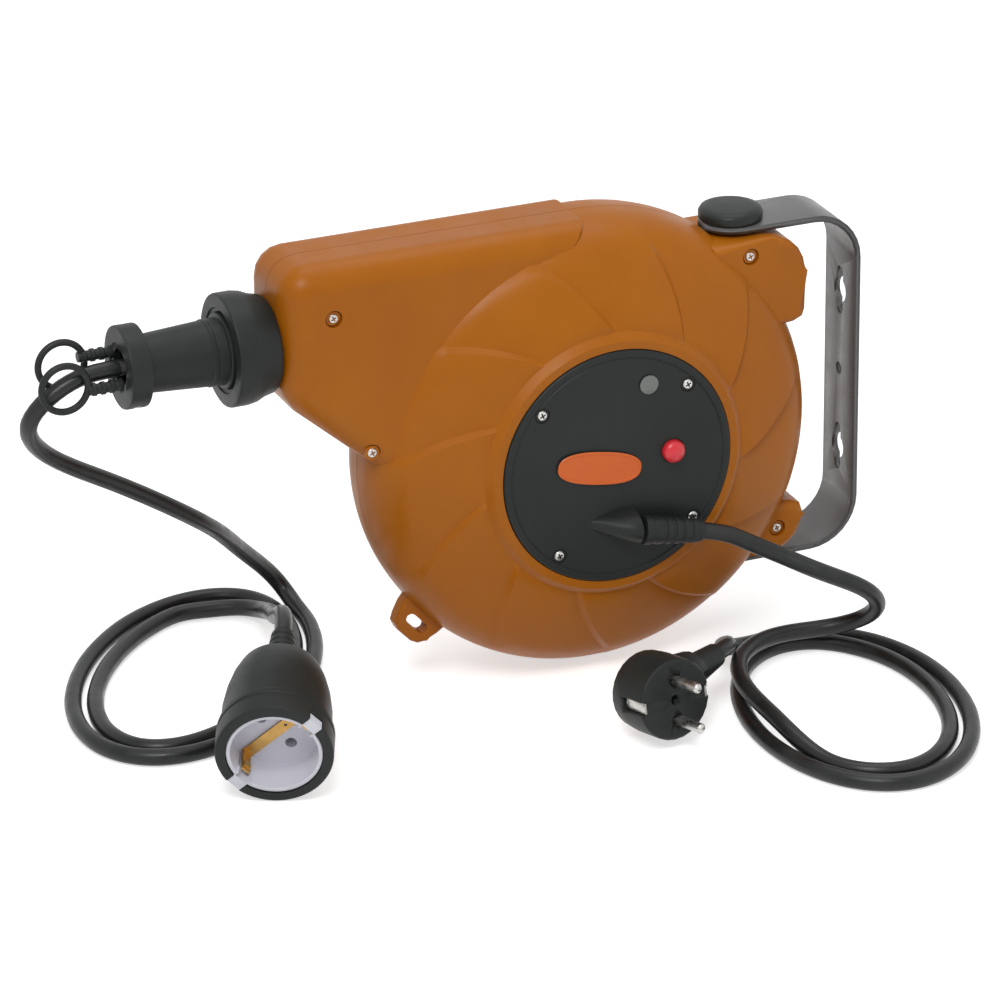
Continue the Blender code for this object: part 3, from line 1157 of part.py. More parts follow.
def make_socket(plastic, white, copper):
    """Coupling socket on the end of the outlet cord."""
    back = SOCKET_AXIS.normalized()
    rim = SOCKET_RIM
    end = SOCKET_LENGTH
    bore = INSERT_RADIUS + GAP
    profile = [(bore, 0), (SOCKET_RADIUS - 0.0008, 0), (SOCKET_RADIUS, 0.0010), (SOCKET_RADIUS, 0.0150)]
    profile += [(SOCKET_RADIUS - 0.0018, 0.0165), (SOCKET_RADIUS - 0.0025, 0.0400), (SOCKET_BACK, 0.0560)]
    profile += [(SOCKET_BACK - 0.0040, end - GAP), (0, end - GAP), (0, 0.0520), (bore, 0.0440)]
    turned("connector_shell", profile, plastic, rim, back, 28)
    profile = [(RECESS_RADIUS, 0.0010), (INSERT_RADIUS, 0.0010), (INSERT_RADIUS, 0.0420), (0, 0.0420)]
    profile += [(0, RECESS_DEPTH), (RECESS_RADIUS - 0.0006, RECESS_DEPTH)]
    profile += [(RECESS_RADIUS, RECESS_DEPTH - 0.0010)]
    insert = turned("connector_insert", profile, white, rim, back, 28)
    face = place_frame(rim, back, SOCKET_PINS)
    for i, side in enumerate((-1, 1)):
        centre = face @ Vector((side * PIN_PITCH / 2, 0, 0))
        cut(insert, rod("pin_hole_%d" % i, PIN_HOLE, RECESS_DEPTH - 0.005, 0.038, None, centre, back, 14))
        wall = RECESS_RADIUS + 0.0010
        slot = face @ Matrix.Translation((0, side * (wall - 0.0030), 0))
        outline = rectangle(0.0035, 0.0030)
        cut(insert, plate("clip_slot_%d" % i, outline, 0.0, RECESS_DEPTH - 0.001, None, slot))
    half = RECESS_RADIUS - 0.0010
    floor = RECESS_DEPTH - GAP
    strap = plate("connector_earth_strap", rectangle(0.0028, half), floor - 0.0008, floor, copper, face)
    for side in (-1, 1):
        finger = face @ Matrix.Translation((0, side * (half - 0.0005), 0))
        outline = rectangle(0.0022, 0.00045)
        fuse(strap, plate("finger_%d" % side, outline, 0.0045, floor - 0.0004, None, finger))
    start = rim + back * (end + GAP)
    length = SOCKET_RELIEF - 2 * GAP
    profile = [(0, 0)]
    ribs = 5
    for i in range(ribs):
        low = length * i / ribs
        wide = length / ribs
        radius = 0.0070 - 0.0014 * i / (ribs - 1)
        profile += [(radius, low + 0.0001), (radius, low + wide * 0.6)]
        profile += [(radius - 0.0008, low + wide * 0.66), (radius - 0.0008, low + wide * 0.98)]
    profile += [(0, length)]
    turned("connector_strain_relief", profile, plastic, start, back, 10)


def make_plug(plastic, metal):
    """Angled mains plug on the end of the supply cord."""
    out = PLUG_AXIS.normalized()
    neck = PLUG_NECK.normalized()
    base = PLUG_FACE - out * PLUG_DEPTH
    body = [(0, 0), (PLUG_RADIUS - 0.0035, 0), (PLUG_RADIUS - 0.0008, 0.0030), (PLUG_RADIUS, 0.0100)]
    body += [(PLUG_RADIUS, PLUG_DEPTH - 0.0012), (PLUG_RADIUS - 0.0012, PLUG_DEPTH), (0, PLUG_DEPTH)]
    plug = turned("plug_body", body, plastic, base, out, 26)
    middle = PLUG_FACE - out * PLUG_DEPTH / 2
    reach = PLUG_REACH
    taper = [(0, 0), (0.0115, 0), (0.0115, reach * 0.42), (0.0098, reach * 0.58), (0.0074, reach * 0.60)]
    taper += [(0.0056, reach - 0.0005), (0.0050, reach), (0, reach)]
    fuse(plug, turned("plug_neck", taper, None, middle, neck, 16))
    face = place_frame(PLUG_FACE, out, UP)
    edge = PLUG_RADIUS - 0.0030
    reach = edge + 0.0012
    wide = 0.0028
    floor = -0.0150
    cut(plug, rod("earth_bore", 0.0026, floor + 0.0010, 0.01, None, PLUG_FACE, out, 16))
    cut(plug, plate("strap_channel", rectangle(wide + GAP, reach + 0.01), floor, floor + 0.0016, None, face))
    clip = plate("plug_earth_clip", rectangle(wide, reach), floor + GAP, floor + 0.0013, metal, face)
    for side in (-1, 1):
        slot = face @ Matrix.Translation((0, side * (edge + 0.01), 0))
        cut(plug, plate("clip_channel_%d" % side, rectangle(wide + GAP, 0.01), floor, 0.01, None, slot))
        strip = face @ Matrix.Translation((0, side * (edge + 0.0006), 0))
        outline = rectangle(wide - 0.0003, 0.0005)
        fuse(clip, plate("strip_%d" % side, outline, floor + 0.0006, 0, None, strip))
    for word, side in (("upper", 1), ("lower", -1)):
        centre = face @ Vector((side * PIN_PITCH / 2, 0, 0))
        bore = PLUG_PIN_RADIUS + GAP
        cut(plug, rod("pin_seat_" + word, bore, -0.0150, 0.01, None, centre, out, 14))
        tip = PLUG_PIN_LENGTH
        pin = [(0, -0.0147), (PLUG_PIN_RADIUS, -0.0147), (PLUG_PIN_RADIUS, tip - 0.0010)]
        pin += [(PLUG_PIN_RADIUS - 0.0009, tip), (0, tip)]
        turned("plug_pin_" + word, pin, metal, centre, out, 14)
    return plug


# ---------------------------------------------------------------- assembly
def build():
    clear_scene()
    orange = finish("ochre_plastic", (0.42, 0.11, 0.004), 0.42)
    black = finish("black_plastic", (0.022, 0.024, 0.023), 0.5)
    rubber = finish("black_cable", (0.010, 0.011, 0.011), 0.38)
    steel = finish("bright_steel", (0.55, 0.55, 0.53), 0.3, 1.0)
    painted = finish("painted_strap", (0.045, 0.046, 0.046), 0.45, 0.2)
    brass = finish("brass", (0.50, 0.30, 0.08), 0.35, 1.0)
    white = finish("white_insert", (0.72, 0.73, 0.78), 0.4)
    red = finish("red_button", (0.75, 0.02, 0.03), 0.35)
    grey = finish("grey_lens", (0.20, 0.21, 0.20), 0.3)
    make_shell("front_shell", orange, True)
    make_shell("rear_shell", orange, False)
    for name, (x, y, depth, reach) in SHELL_SCREWS.items():
        screw(name, (x, y), depth - GAP, depth + reach - SCREW_HEAD_DEPTH - 2 * GAP, steel)
    make_bracket(painted)
    make_swivel(steel, black)
    make_cover(black, steel, orange, grey)
    make_button(red, black)
    make_nose(black, steel)
    make_rollers(grey, steel)
    make_drum(black, steel, rubber, brass)
    make_supply_cord(rubber, black)
    make_outlet_cord(rubber)
    make_socket(black, white, brass)
    make_plug(black, steel)


build()
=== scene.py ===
"""Look of the wall-mounted extension cord reel: materials, cords, fine detail, light and camera."""
import json
import math

import bmesh
import bpy
import numpy as np
from mathutils import Matrix, Vector


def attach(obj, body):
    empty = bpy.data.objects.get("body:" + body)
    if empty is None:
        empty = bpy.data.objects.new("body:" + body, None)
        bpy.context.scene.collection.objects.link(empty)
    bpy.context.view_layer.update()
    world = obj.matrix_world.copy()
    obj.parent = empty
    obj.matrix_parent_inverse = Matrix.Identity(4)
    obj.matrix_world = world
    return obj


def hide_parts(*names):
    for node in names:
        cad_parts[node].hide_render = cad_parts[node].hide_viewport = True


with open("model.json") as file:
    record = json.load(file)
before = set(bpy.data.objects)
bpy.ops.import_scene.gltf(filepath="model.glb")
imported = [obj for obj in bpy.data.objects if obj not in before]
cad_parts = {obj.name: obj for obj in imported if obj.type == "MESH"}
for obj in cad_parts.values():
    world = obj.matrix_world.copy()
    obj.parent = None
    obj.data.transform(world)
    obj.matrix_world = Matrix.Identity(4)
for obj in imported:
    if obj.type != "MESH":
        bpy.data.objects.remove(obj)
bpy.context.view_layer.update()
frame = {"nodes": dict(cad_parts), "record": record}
NODES = frame["nodes"]

# Photograph: view direction in degrees, the point that is aimed at, and where it lies in the picture
VIEW_AZIMUTH = math.radians(-24.4)
VIEW_ELEVATION = math.radians(23.5)
VIEW_TARGET = Vector((-0.137, -0.0455, 0.0))
VIEW_DISTANCE = 2.7
LENS = 213.8
TARGET_PIXEL = (618.5, 466.6)
PICTURE = 1000

# Real sizes shared with the frame
FLOOR = -0.1122  # just under the coils that lie on it
CABLE_RADIUS = 0.004
GAP = 0.0003
AXIS_X = -0.137
NOSE_X = -0.289
CABLE_HEIGHT = 0.0695
UP = Vector((0, 0, 1))
LEFT = Vector((-1, 0, 0))

# Cord routes: the points of the frame's cords, but for the outlet's tail, which follows the photograph
CORD_LEVEL = -0.108
ROUTE_STEP = 0.004
COIL_STEP = 3
RELIEF_START = Vector((-0.1287, -0.054, -0.0297))
RELIEF_AXIS = Vector((0.985, -0.05, -0.17))
RELIEF_LENGTH = 0.0295
SUPPLY_COIL = Vector((-0.05, -0.1151, CORD_LEVEL))
SUPPLY_COIL_WIDE = Vector((-0.0411, 0.0372, 0))
SUPPLY_COIL_DEEP = Vector((-0.0313, -0.069, 0))
SUPPLY_STATIONS = (  # angle round the coil, inset, lift
    (0, 0.0, 0.0098), (35, 0.0074, 0.0072), (70, 0.0094, 0.0), (110, 0.012, 0.0),
    (180, 0.0098, 0.0), (255, 0.0096, 0.0), (345, 0.0, 0.0), (630, 0.0, 0.0),
)
SUPPLY_LEAD = (
    (-0.0812, -0.0575, -0.0412), (-0.0655, -0.064, -0.049), (-0.048, -0.0755, -0.057),
    (-0.029, -0.0815, -0.066), (-0.0175, -0.074, -0.08), (-0.0205, -0.06, -0.093),
    (-0.0362, -0.051, -0.0983), (-0.0566, -0.0495, -0.098), (-0.0725, -0.0545, -0.098),
    (-0.0832, -0.0635, -0.0981),
)
SUPPLY_TAIL = ((-0.038, -0.0317, -0.108), (-0.0598, -0.0338, -0.108), (-0.0876, -0.0515, -0.0972))
OUTLET_COIL = Vector((-0.3117, 0.0444, CORD_LEVEL))
OUTLET_COIL_WIDE = Vector((0.0496, -0.0198, 0))
OUTLET_COIL_DEEP = Vector((-0.047, -0.0766, 0))
OUTLET_STATIONS = (
    (-30, 0.0, 0.0), (210, 0.0, 0.0), (330, 0.0094, 0.0), (480, 0.0098, 0.0), (585, 0.0112, 0.0),
)
OUTLET_LEAD = (
    (-0.3857, 0.0, 0.0649), (-0.4001, 0.0015, 0.0525), (-0.3968, 0.013, 0.0359),
    (-0.38, 0.024, 0.0184), (-0.3554, 0.032, 0.0019), (-0.308, 0.044, -0.0314),
    (-0.264, 0.094, -0.079), (-0.2462, 0.101, -0.1), (-0.2434, 0.0846, -0.1075),
)
OUTLET_TAIL = (
    (-0.2816, 0.1062, -0.108), (-0.268, 0.102, -0.1074), (-0.2612, 0.0895, -0.105),
    (-0.264, 0.072, -0.0978), (-0.27, 0.05, -0.0885), (-0.2785, 0.023, -0.0765),
)
SOCKET_RIM = Vector((-0.3257, -0.0934, -0.0862))
SOCKET_AXIS = Vector((0.4024, 0.8876, 0.225))
SOCKET_LENGTH = 0.062
SOCKET_RELIEF = 0.025
PLUG_FACE = Vector((-0.1384, -0.1113, -0.0885))
PLUG_AXIS = Vector((0.19, -0.97, 0.15))
PLUG_DEPTH = 0.027
PLUG_NECK = Vector((0.875, 0.48, 0.066))
PLUG_REACH = 0.0443
OUTLET_MOUTH = Vector((NOSE_X - 0.0703, 0, CABLE_HEIGHT))


# -------- materials
class Shader:
    """A node material built up in a few calls."""

    def __init__(self, name, colour, roughness, metallic=0.0):
        self.material = bpy.data.materials.new(name)
        self.material.use_nodes = True
        self.tree = self.material.node_tree
        self.surface = self.tree.nodes["Principled BSDF"]
        self.put("Base Color", (*colour, 1))
        self.put("Roughness", roughness)
        self.put("Metallic", metallic)
        self.material.diffuse_color = (*colour, 1)
        self.place = self.node("ShaderNodeTexCoord").outputs["Object"]
        self.bump_from = None

    def node(self, kind, **values):
        made = self.tree.nodes.new(kind)
        for key, value in values.items():
            if key in made.inputs:
                made.inputs[key].default_value = value
            else:
                setattr(made, key, value)
        return made

    def link(self, a, b):
        self.tree.links.new(a, b)

    def put(self, name, value):
        self.surface.inputs[name].default_value = value

    def noise(self, scale, detail=3.0, roughness=0.55, stretch=None):
        made = self.node("ShaderNodeTexNoise", Scale=scale, Detail=detail, Roughness=roughness)
        source = self.place
        if stretch is not None:
            mapping = self.node("ShaderNodeMapping", Scale=stretch)
            self.link(self.place, mapping.inputs["Vector"])
            source = mapping.outputs["Vector"]
        self.link(source, made.inputs["Vector"])
        return made.outputs["Fac"]

    def ramp(self, factor, low, high, start=0.35, end=0.65):
        span = {"From Min": start, "From Max": end, "To Min": low, "To Max": high}
        made = self.node("ShaderNodeMapRange", **span)
        self.link(factor, made.inputs["Value"])
        return made.outputs["Result"]

    def tint(self, factor, dark, light, over=None):
        made = self.node("ShaderNodeMix", data_type="RGBA")
        sockets = {s.identifier: s for s in made.inputs}
        sockets["A_Color"].default_value = (*dark, 1)
        sockets["B_Color"].default_value = (*light, 1)
        if over is not None:
            self.link(over, sockets["A_Color"])
        self.link(factor, sockets["Factor_Float"])
        out = {s.identifier: s for s in made.outputs}["Result_Color"]
        self.link(out, self.surface.inputs["Base Color"])
        return out

    def roughen(self, factor):
        self.link(factor, self.surface.inputs["Roughness"])

    def bump(self, height, strength, distance):
        made = self.node("ShaderNodeBump", Strength=strength, Distance=distance)
        self.link(height, made.inputs["Height"])
        if self.bump_from is not None:
            self.link(self.bump_from, made.inputs["Normal"])
        self.bump_from = made.outputs["Normal"]
        self.link(self.bump_from, self.surface.inputs["Normal"])

    def edges(self, width=0.02):
        """1 on worn convex edges, 0 elsewhere."""
        geometry = self.node("ShaderNodeNewGeometry")
        return self.ramp(geometry.outputs["Pointiness"], 0.0, 1.0, 0.5 + width, 0.5 + 2.5 * width)


def moulded(name, colour, light, roughness, grain, coat=0.0, shine=0.3):
    """Injection-moulded plastic: faint flow marks, a fine spark texture and pale specks."""
    shader = Shader(name, colour, roughness)
    flow = shader.noise(14.0, 4.0)
    body = shader.tint(shader.ramp(flow, 0.0, 1.0, 0.3, 0.75), colour, light)
    shader.tint(shader.ramp(shader.noise(160.0, 2.0), 0.0, 0.22, 0.55, 0.8), colour, light, body)
    shader.roughen(shader.ramp(shader.noise(55.0, 5.0), roughness - 0.06, roughness + 0.08, 0.3, 0.7))
    shader.bump(shader.noise(grain, 2.0, 0.6), 0.16, 0.00012)
    shader.bump(shader.noise(18.0, 2.0), 0.06, 0.001)
    shader.put("Specular IOR Level", shine)
    shader.put("Coat Weight", coat)
    shader.put("Coat Roughness", 0.25)
    return shader.material


def cable_sheath():
    """Rubbery cable sheath with a soft shine and faint handling marks."""
    shader = Shader("cable_sheath", (0.012, 0.013, 0.013), 0.34)
    marks = shader.ramp(shader.noise(60.0, 4.0), 0.0, 1.0, 0.35, 0.8)
    shader.tint(marks, (0.009, 0.01, 0.01), (0.022, 0.023, 0.023))
    shader.roughen(shader.ramp(shader.noise(120.0, 4.0), 0.27, 0.44, 0.3, 0.7))
    shader.bump(shader.noise(420.0, 3.0), 0.12, 0.0002)
    shader.put("Specular IOR Level", 0.35)
    return shader.material


def plated_steel():
    """Zinc-plated screws and pins, brushed along their length."""
    shader = Shader("plated_steel", (0.56, 0.55, 0.52), 0.28, 1.0)
    shader.tint(shader.noise(90.0, 4.0), (0.42, 0.41, 0.39), (0.68, 0.67, 0.64))
    shader.roughen(shader.ramp(shader.noise(260.0, 3.0), 0.2, 0.42, 0.3, 0.7))
    shader.bump(shader.noise(700.0, 2.0, 0.6, (1, 1, 8)), 0.1, 0.0001)
    return shader.material


def painted_strap():
    """Powder coat over flat steel: orange peel, faint blotches and rubbed edges."""
    shader = Shader("painted_strap", (0.024, 0.025, 0.025), 0.34)
    body = shader.tint(shader.noise(40.0, 5.0), (0.018, 0.019, 0.019), (0.036, 0.037, 0.037))
    shader.tint(shader.edges(0.015), (0.03, 0.03, 0.03), (0.12, 0.12, 0.12), body)
    shader.roughen(shader.ramp(shader.noise(90.0, 4.0), 0.26, 0.4, 0.3, 0.7))
    shader.bump(shader.noise(520.0, 2.0), 0.2, 0.0002)
    return shader.material


def brass_sheet():
    """Stamped brass with a drawn grain and dull patches."""
    shader = Shader("brass_sheet", (0.52, 0.31, 0.09), 0.34, 1.0)
    shader.tint(shader.noise(120.0, 5.0), (0.36, 0.19, 0.05), (0.66, 0.43, 0.15))
    shader.roughen(shader.ramp(shader.noise(300.0, 3.0), 0.25, 0.5, 0.3, 0.7))
    shader.bump(shader.noise(500.0, 2.0, 0.5, (6, 1, 1)), 0.12, 0.0001)
    return shader.material


def make_materials():
    """One material for each slot of the record, one for the badge, and one of painted shadow for the sunk
    rims of the cover screws.
    """
    ochre, pale_ochre = (0.385, 0.11, 0.002), (0.45, 0.14, 0.0045)
    black, pale_black = (0.015, 0.018, 0.017), (0.024, 0.028, 0.026)
    return {
        "ochre_plastic": moulded("ochre_plastic", ochre, pale_ochre, 0.38, 900.0, shine=0.22),
        "black_plastic": moulded("black_plastic", black, pale_black, 0.44, 1100.0, shine=0.22),
        "black_cable": cable_sheath(),
        "bright_steel": plated_steel(),
        "painted_strap": painted_strap(),
        "brass": brass_sheet(),
        "white_insert": moulded("white_insert", (0.7, 0.7, 0.78), (0.78, 0.78, 0.84), 0.34, 1300.0, 0.2),
        "badge_orange": moulded("badge_orange", (0.66, 0.115, 0.018), (0.76, 0.16, 0.03), 0.34, 900.0),
        # painted shadow: near-black fill for the sunk rims and cross recesses of the cover screws, where the
        # recess's shade falls
        "screw_shadow": moulded("screw_shadow", (0.006, 0.006, 0.006), (0.01, 0.01, 0.01), 0.6, 900.0),
        "red_button": moulded("red_button", (0.74, 0.022, 0.035), (0.82, 0.04, 0.05), 0.28, 900.0, 0.5),
        "grey_plastic": moulded("grey_plastic", (0.15, 0.16, 0.15), (0.22, 0.23, 0.22), 0.3, 900.0, 0.4),
    }


SMOOTH_ANGLE = 30  # facets that meet at less than this, in degrees, shade as one surface
FLAT_WEIGHT = 60  # how far broad faces draw the shading their way
WELD_REACH = 0.00001


def soften(obj, degrees=SMOOTH_ANGLE):
    """Soft shading across gentle facets, with broad flat faces kept flat."""
    obj.data.shade_smooth()
    obj.data.set_sharp_from_angle(angle=math.radians(degrees))
    weigh = obj.modifiers.new("weighted", "WEIGHTED_NORMAL")
    weigh.keep_sharp = True
    weigh.weight = FLAT_WEIGHT


def dress_nodes(materials):
    """Every node of the frame gets its material, and one surface with soft shading."""
    slots = {entry["node"]: entry["material_slot"] for entry in frame["record"]["subparts"]}
    for name, obj in NODES.items():
        obj.data.materials.clear()
        obj.data.materials.append(materials[slots[name]])
        weld = obj.modifiers.new("weld", "WELD")
        weld.merge_threshold = WELD_REACH
        soften(obj)


# -------- housing, in the sizes of the frame's shells
DRUM_RADIUS = 0.11  # outer radius of the round bulge
SHELL_DEPTH = 0.0445  # parting plane to the raised ring of the cover
WALL = 0.003  # moulded wall
RIM_WIDTH = 0.014  # rounded rim, outside the shoulder
RIM_RISE = 0.017  # from the rim's shoulder up to the ring of the cover
RING_WIDTH = 0.005  # raised ring round the cover
RING_FOOT = 0.0025  # width of the ring's outer slope
RING_RISE = 0.004  # height of the ring over the sloped face
CREASES = 11
CREASE_START = math.radians(91.0)
CREASE_LEAN = math.radians(16.0)
CREASE_STEP = 0.0026
CREASE_RISER = 0.055  # share of a sector taken by the riser
NOSE_LEFT = 0.152  # drum axis to the left wall
NOSE_TOE_INSET = 0.006  # where the lower edge meets the drum, inside its rim
NOSE_TOE_HEIGHT = 0.005
NOSE_DEPTH = 0.0245
NOSE_ROUND = 0.0125  # rounded front edge
CABLE_RISE = 0.0245  # lower left corner of the nose up to the cable
LUG_REACH = 0.029  # past the swivel axis
LUG_TOP_DROP = 0.0215  # below the top of the drum
LUG_BOTTOM_RISE = 0.04  # above its lowest point
LUG_DEPTH = 0.0225
LUG_CORNER = 0.018
LUG_END = 0.045  # height where a lug stops short of the drum's level
SWIVEL_LIMIT = math.radians(45.0)
STRAP_WIDTH = 0.03
PIN_RADIUS = 0.004
BUSH_WALL = 0.0018
BUSH_LENGTH = 0.014
COVER_RADIUS = 0.0565
COVER_THICKNESS = 0.003
COVER_PROUD = 0.001  # cover's face in front of the raised ring
COVER_LEDGE = 0.0135  # cover's edge to the opening behind it
DRUM_TO_PIVOT = 0.077  # drum axis to the vertical swivel axis
PIVOT_TO_WALL = 0.06  # swivel axis to the wall
MOUTH_RADIUS = 0.015
EYELET_REACH = 0.0135
EYELET_HALF = 0.0125
EYELET_SLOT = 0.005
EYELET_SLOT_LENGTH = 0.013
EYELET_SLOT_OUT = 0.0055  # middle of the slot outside the rim
EYELET_ANGLE = math.radians(223.0)
EYELET_DEPTH = 0.007
SCREW_HEAD = 0.0035
SCREW_HEAD_DEPTH = 0.002
NOSE_SCREW_INSET = 0.023  # upper nose screw to the left wall
NOSE_SCREW_DROP = 0.024  # and to the top of the nose
TOE_SCREW_OUT = 0.0015  # lower nose screw outside the drum's radius
TOE_SCREW_HEIGHT = 0.018
LUG_SCREW_UPPER = (0.0, 0.007)
LUG_SCREW_LOWER = (0.015, 0.013)
COVER_FACE = -(SHELL_DEPTH + COVER_PROUD)
SHOULDER_RADIUS = DRUM_RADIUS - RIM_WIDTH
SHOULDER_DEPTH = SHELL_DEPTH - RIM_RISE
RING_OUTER = COVER_RADIUS + RING_WIDTH
COVER_OPENING = COVER_RADIUS - COVER_LEDGE
FACE_RADIUS = RING_OUTER + RING_FOOT
FACE_DEPTH = SHELL_DEPTH - RING_RISE
NOSE_FLOOR = CABLE_HEIGHT - CABLE_RISE
NOSE_TOE = (NOSE_TOE_INSET - DRUM_RADIUS, NOSE_TOE_HEIGHT)
LUG_RIGHT = DRUM_TO_PIVOT + LUG_REACH
LUG_TOP = DRUM_RADIUS - LUG_TOP_DROP
LUG_BOTTOM = LUG_BOTTOM_RISE - DRUM_RADIUS
PIVOT_X = -PIVOT_TO_WALL
PIVOT_BORE = PIN_RADIUS + BUSH_WALL + 2 * GAP
SHELL_SCREWS = {  # right, up, depth of the face
    "nose_screw_upper": (NOSE_SCREW_INSET - NOSE_LEFT, DRUM_RADIUS - NOSE_SCREW_DROP, NOSE_DEPTH),
    "nose_screw_lower": (-DRUM_RADIUS - TOE_SCREW_OUT, TOE_SCREW_HEIGHT, NOSE_DEPTH),
    "lug_screw_upper": (DRUM_TO_PIVOT + LUG_SCREW_UPPER[0], LUG_TOP - LUG_SCREW_UPPER[1], LUG_DEPTH),
    "lug_screw_lower": (DRUM_TO_PIVOT + LUG_SCREW_LOWER[0], LUG_BOTTOM + LUG_SCREW_LOWER[1], LUG_DEPTH),
}
LUG_ROUND = 0.004  # rounded front edges of the lugs and of the eyelet
EYELET_ROUND = 0.002
POCKET_REACH = 0.09  # room for the bracket's arm, out from the pivot and in height
POCKET_HEIGHT = 0.035
CUT_REACH = 0.06  # where a cut ends that goes out through the front
STATIONS = 14  # mesh columns in one sector
FRONT = Vector((0, -1, 0))
# Drawing plane of the housing: x right, y up, and height towards the front, then towards the back
FACE_ON = Matrix(((1, 0, 0, AXIS_X), (0, 0, -1, 0), (0, 1, 0, 0), (0, 0, 0, 1)))
BACK_ON = Matrix(((1, 0, 0, AXIS_X), (0, 0, 1, 0), (0, 1, 0, 0), (0, 0, 0, 1)))


def as_object(name, mesh_data, origin=(0, 0, 0), axis=UP):
    """Turn a bmesh into an object whose local Z lies along axis."""
    bmesh.ops.recalc_face_normals(mesh_data, faces=mesh_data.faces)
    mesh = bpy.data.meshes.new(name)
    mesh_data.to_mesh(mesh)
    mesh_data.free()
    obj = bpy.data.objects.new(name, mesh)
    obj.rotation_mode = "QUATERNION"
    obj.rotation_quaternion = UP.rotation_difference(Vector(axis))
    obj.location = origin
    bpy.context.collection.objects.link(obj)
    return obj


def arc(centre, radius, first, last, steps):
    """Points on an arc, angles in degrees."""
    points = []
    for i in range(steps + 1):
        angle = math.radians(first + (last - first) * i / steps)
        points.append((centre[0] + radius * math.cos(angle), centre[1] + radius * math.sin(angle)))
    return points


def polar(radius, turn, *height):
    """A point at a radius and an angle, and at a height if one is given."""
    return (radius * math.cos(turn), radius * math.sin(turn), *height)


def angles(steps):
    return [2 * math.pi * i / steps for i in range(steps)]


def turned(name, profile, origin=(0, 0, 0), axis=UP, steps=24):
    """A body turned about axis from a closed profile of (radius, height) points."""
    body = bmesh.new()
    rings = []
    for radius, height in profile:
        if radius < 1e-6:
            rings.append([body.verts.new((0, 0, height))])
        else:
            rings.append([body.verts.new(polar(radius, turn, height)) for turn in angles(steps)])
    for low, high in zip(rings, rings[1:] + rings[:1]):
        if len(low) == 1 and len(high) == 1:
            continue
        for i in range(steps):
            j = (i + 1) % steps
            if len(low) == 1:
                body.faces.new((low[0], high[j], high[i]))
            elif len(high) == 1:
                body.faces.new((low[i], low[j], high[0]))
            else:
                body.faces.new((low[i], low[j], high[j], high[i]))
    return as_object(name, body, origin, axis)


def capped(body, rings):
    """Four-sided faces between neighbouring rings of vertices, then the two ends."""
    faces = skinned(body, rings)
    faces.append(body.faces.new(list(reversed(rings[0]))))
    faces.append(body.faces.new(rings[-1]))
    return faces


def skinned(body, rings):
    faces = []
    for low, high in zip(rings, rings[1:]):
        for i in range(len(low)):
            j = (i + 1) % len(low)
            faces.append(body.faces.new((low[i], low[j], high[j], high[i])))
    return faces


def rod(name, radius, start, end, origin=(0, 0, 0), axis=UP, steps=16):
    """A plain round bar between two heights on its axis."""
    profile = [(0, start), (radius, start), (radius, end), (0, end)]
    return turned(name, profile, origin, axis, steps)


def plate(name, outline, start, end, to_world, edge=0.0, segments=4):
    """An outline extruded between two heights, with its upper edge rounded, and placed by a matrix."""
    body = bmesh.new()
    rings = [[body.verts.new((x, y, height)) for x, y in outline] for height in (start, end)]
    top = capped(body, rings)[-1]
    if edge > 0:
        bmesh.ops.bevel(body, geom=list(top.edges), offset=edge, offset_type="OFFSET",
                        segments=segments, profile=0.5, affect="EDGES", clamp_overlap=True)
    bmesh.ops.transform(body, matrix=to_world, verts=body.verts)
    return as_object(name, body)


def nose_outline(inset=0.0):
    """Side view of the nose: a box whose lower edge slopes back to the drum."""
    left = -(NOSE_LEFT - inset)
    top = DRUM_RADIUS - inset
    slope = Vector((NOSE_TOE[0] + NOSE_LEFT, NOSE_TOE[1] - NOSE_FLOOR)).normalized()
    inward = Vector((-slope.y, slope.x)) * inset
    corner = Vector((-NOSE_LEFT, NOSE_FLOOR)) + inward + slope * inset * 0.6
    toe = Vector(NOSE_TOE) + inward
    top_round = NOSE_ROUND + 0.0015 - inset * 0.6
    outline = [(-0.004 - inset, 0.002 + inset), (-0.004 - inset, top)]
    outline += arc((left + top_round, top - top_round), top_round, 90, 180, 4)
    outline += [(left, corner.y + 0.01)]
    outline += [(left + 0.0022, corner.y + 0.003), (corner.x + 0.007, corner.y - 0.0045)]
    outline += [(toe.x, toe.y)]
    return outline


def lug_outline(level, end):
    """Corner lug between the drum and the level of the bracket's arm."""
    up = 1.0 if level > 0 else -1.0
    outline = [(0.045, up * 0.04), (LUG_RIGHT - 0.006, end), (LUG_RIGHT - 0.0012, end + up * 0.0022)]
    outline += [(LUG_RIGHT, end + up * 0.006)]
    corner = arc((LUG_RIGHT - LUG_CORNER, abs(level) - LUG_CORNER), LUG_CORNER, 0, 90, 5)
    outline += [(x, up * y) for x, y in corner]
    outline += [(0.058, level)]
    return outline


def eyelet_outline(slot):
    """Tab on the rim, or the slot through it, in the drawing plane."""
    out = Vector(polar(1, EYELET_ANGLE))
    side = Vector((-out.y, out.x))
    if slot:
        middle = DRUM_RADIUS + EYELET_SLOT_OUT
        end = (EYELET_SLOT_LENGTH - EYELET_SLOT) / 2
        shape = arc((middle, end), EYELET_SLOT / 2, 0, 180, 4)
        shape += arc((middle, -end), EYELET_SLOT / 2, 180, 360, 4)
    else:
        tip = DRUM_RADIUS + EYELET_REACH
        root = DRUM_RADIUS - 0.01
        shape = [(root, -EYELET_HALF - 0.002), (DRUM_RADIUS + 0.003, -EYELET_HALF)]
        shape += arc((tip - 0.006, -EYELET_HALF + 0.008), 0.006, -80, 0, 2)
        shape += arc((tip - 0.006, EYELET_HALF - 0.008), 0.006, 0, 80, 2)
        shape += [(DRUM_RADIUS + 0.003, EYELET_HALF), (root, EYELET_HALF + 0.002)]
    points = [out * a + side * b for a, b in shape]
    return [(p.x, p.y) for p in points]


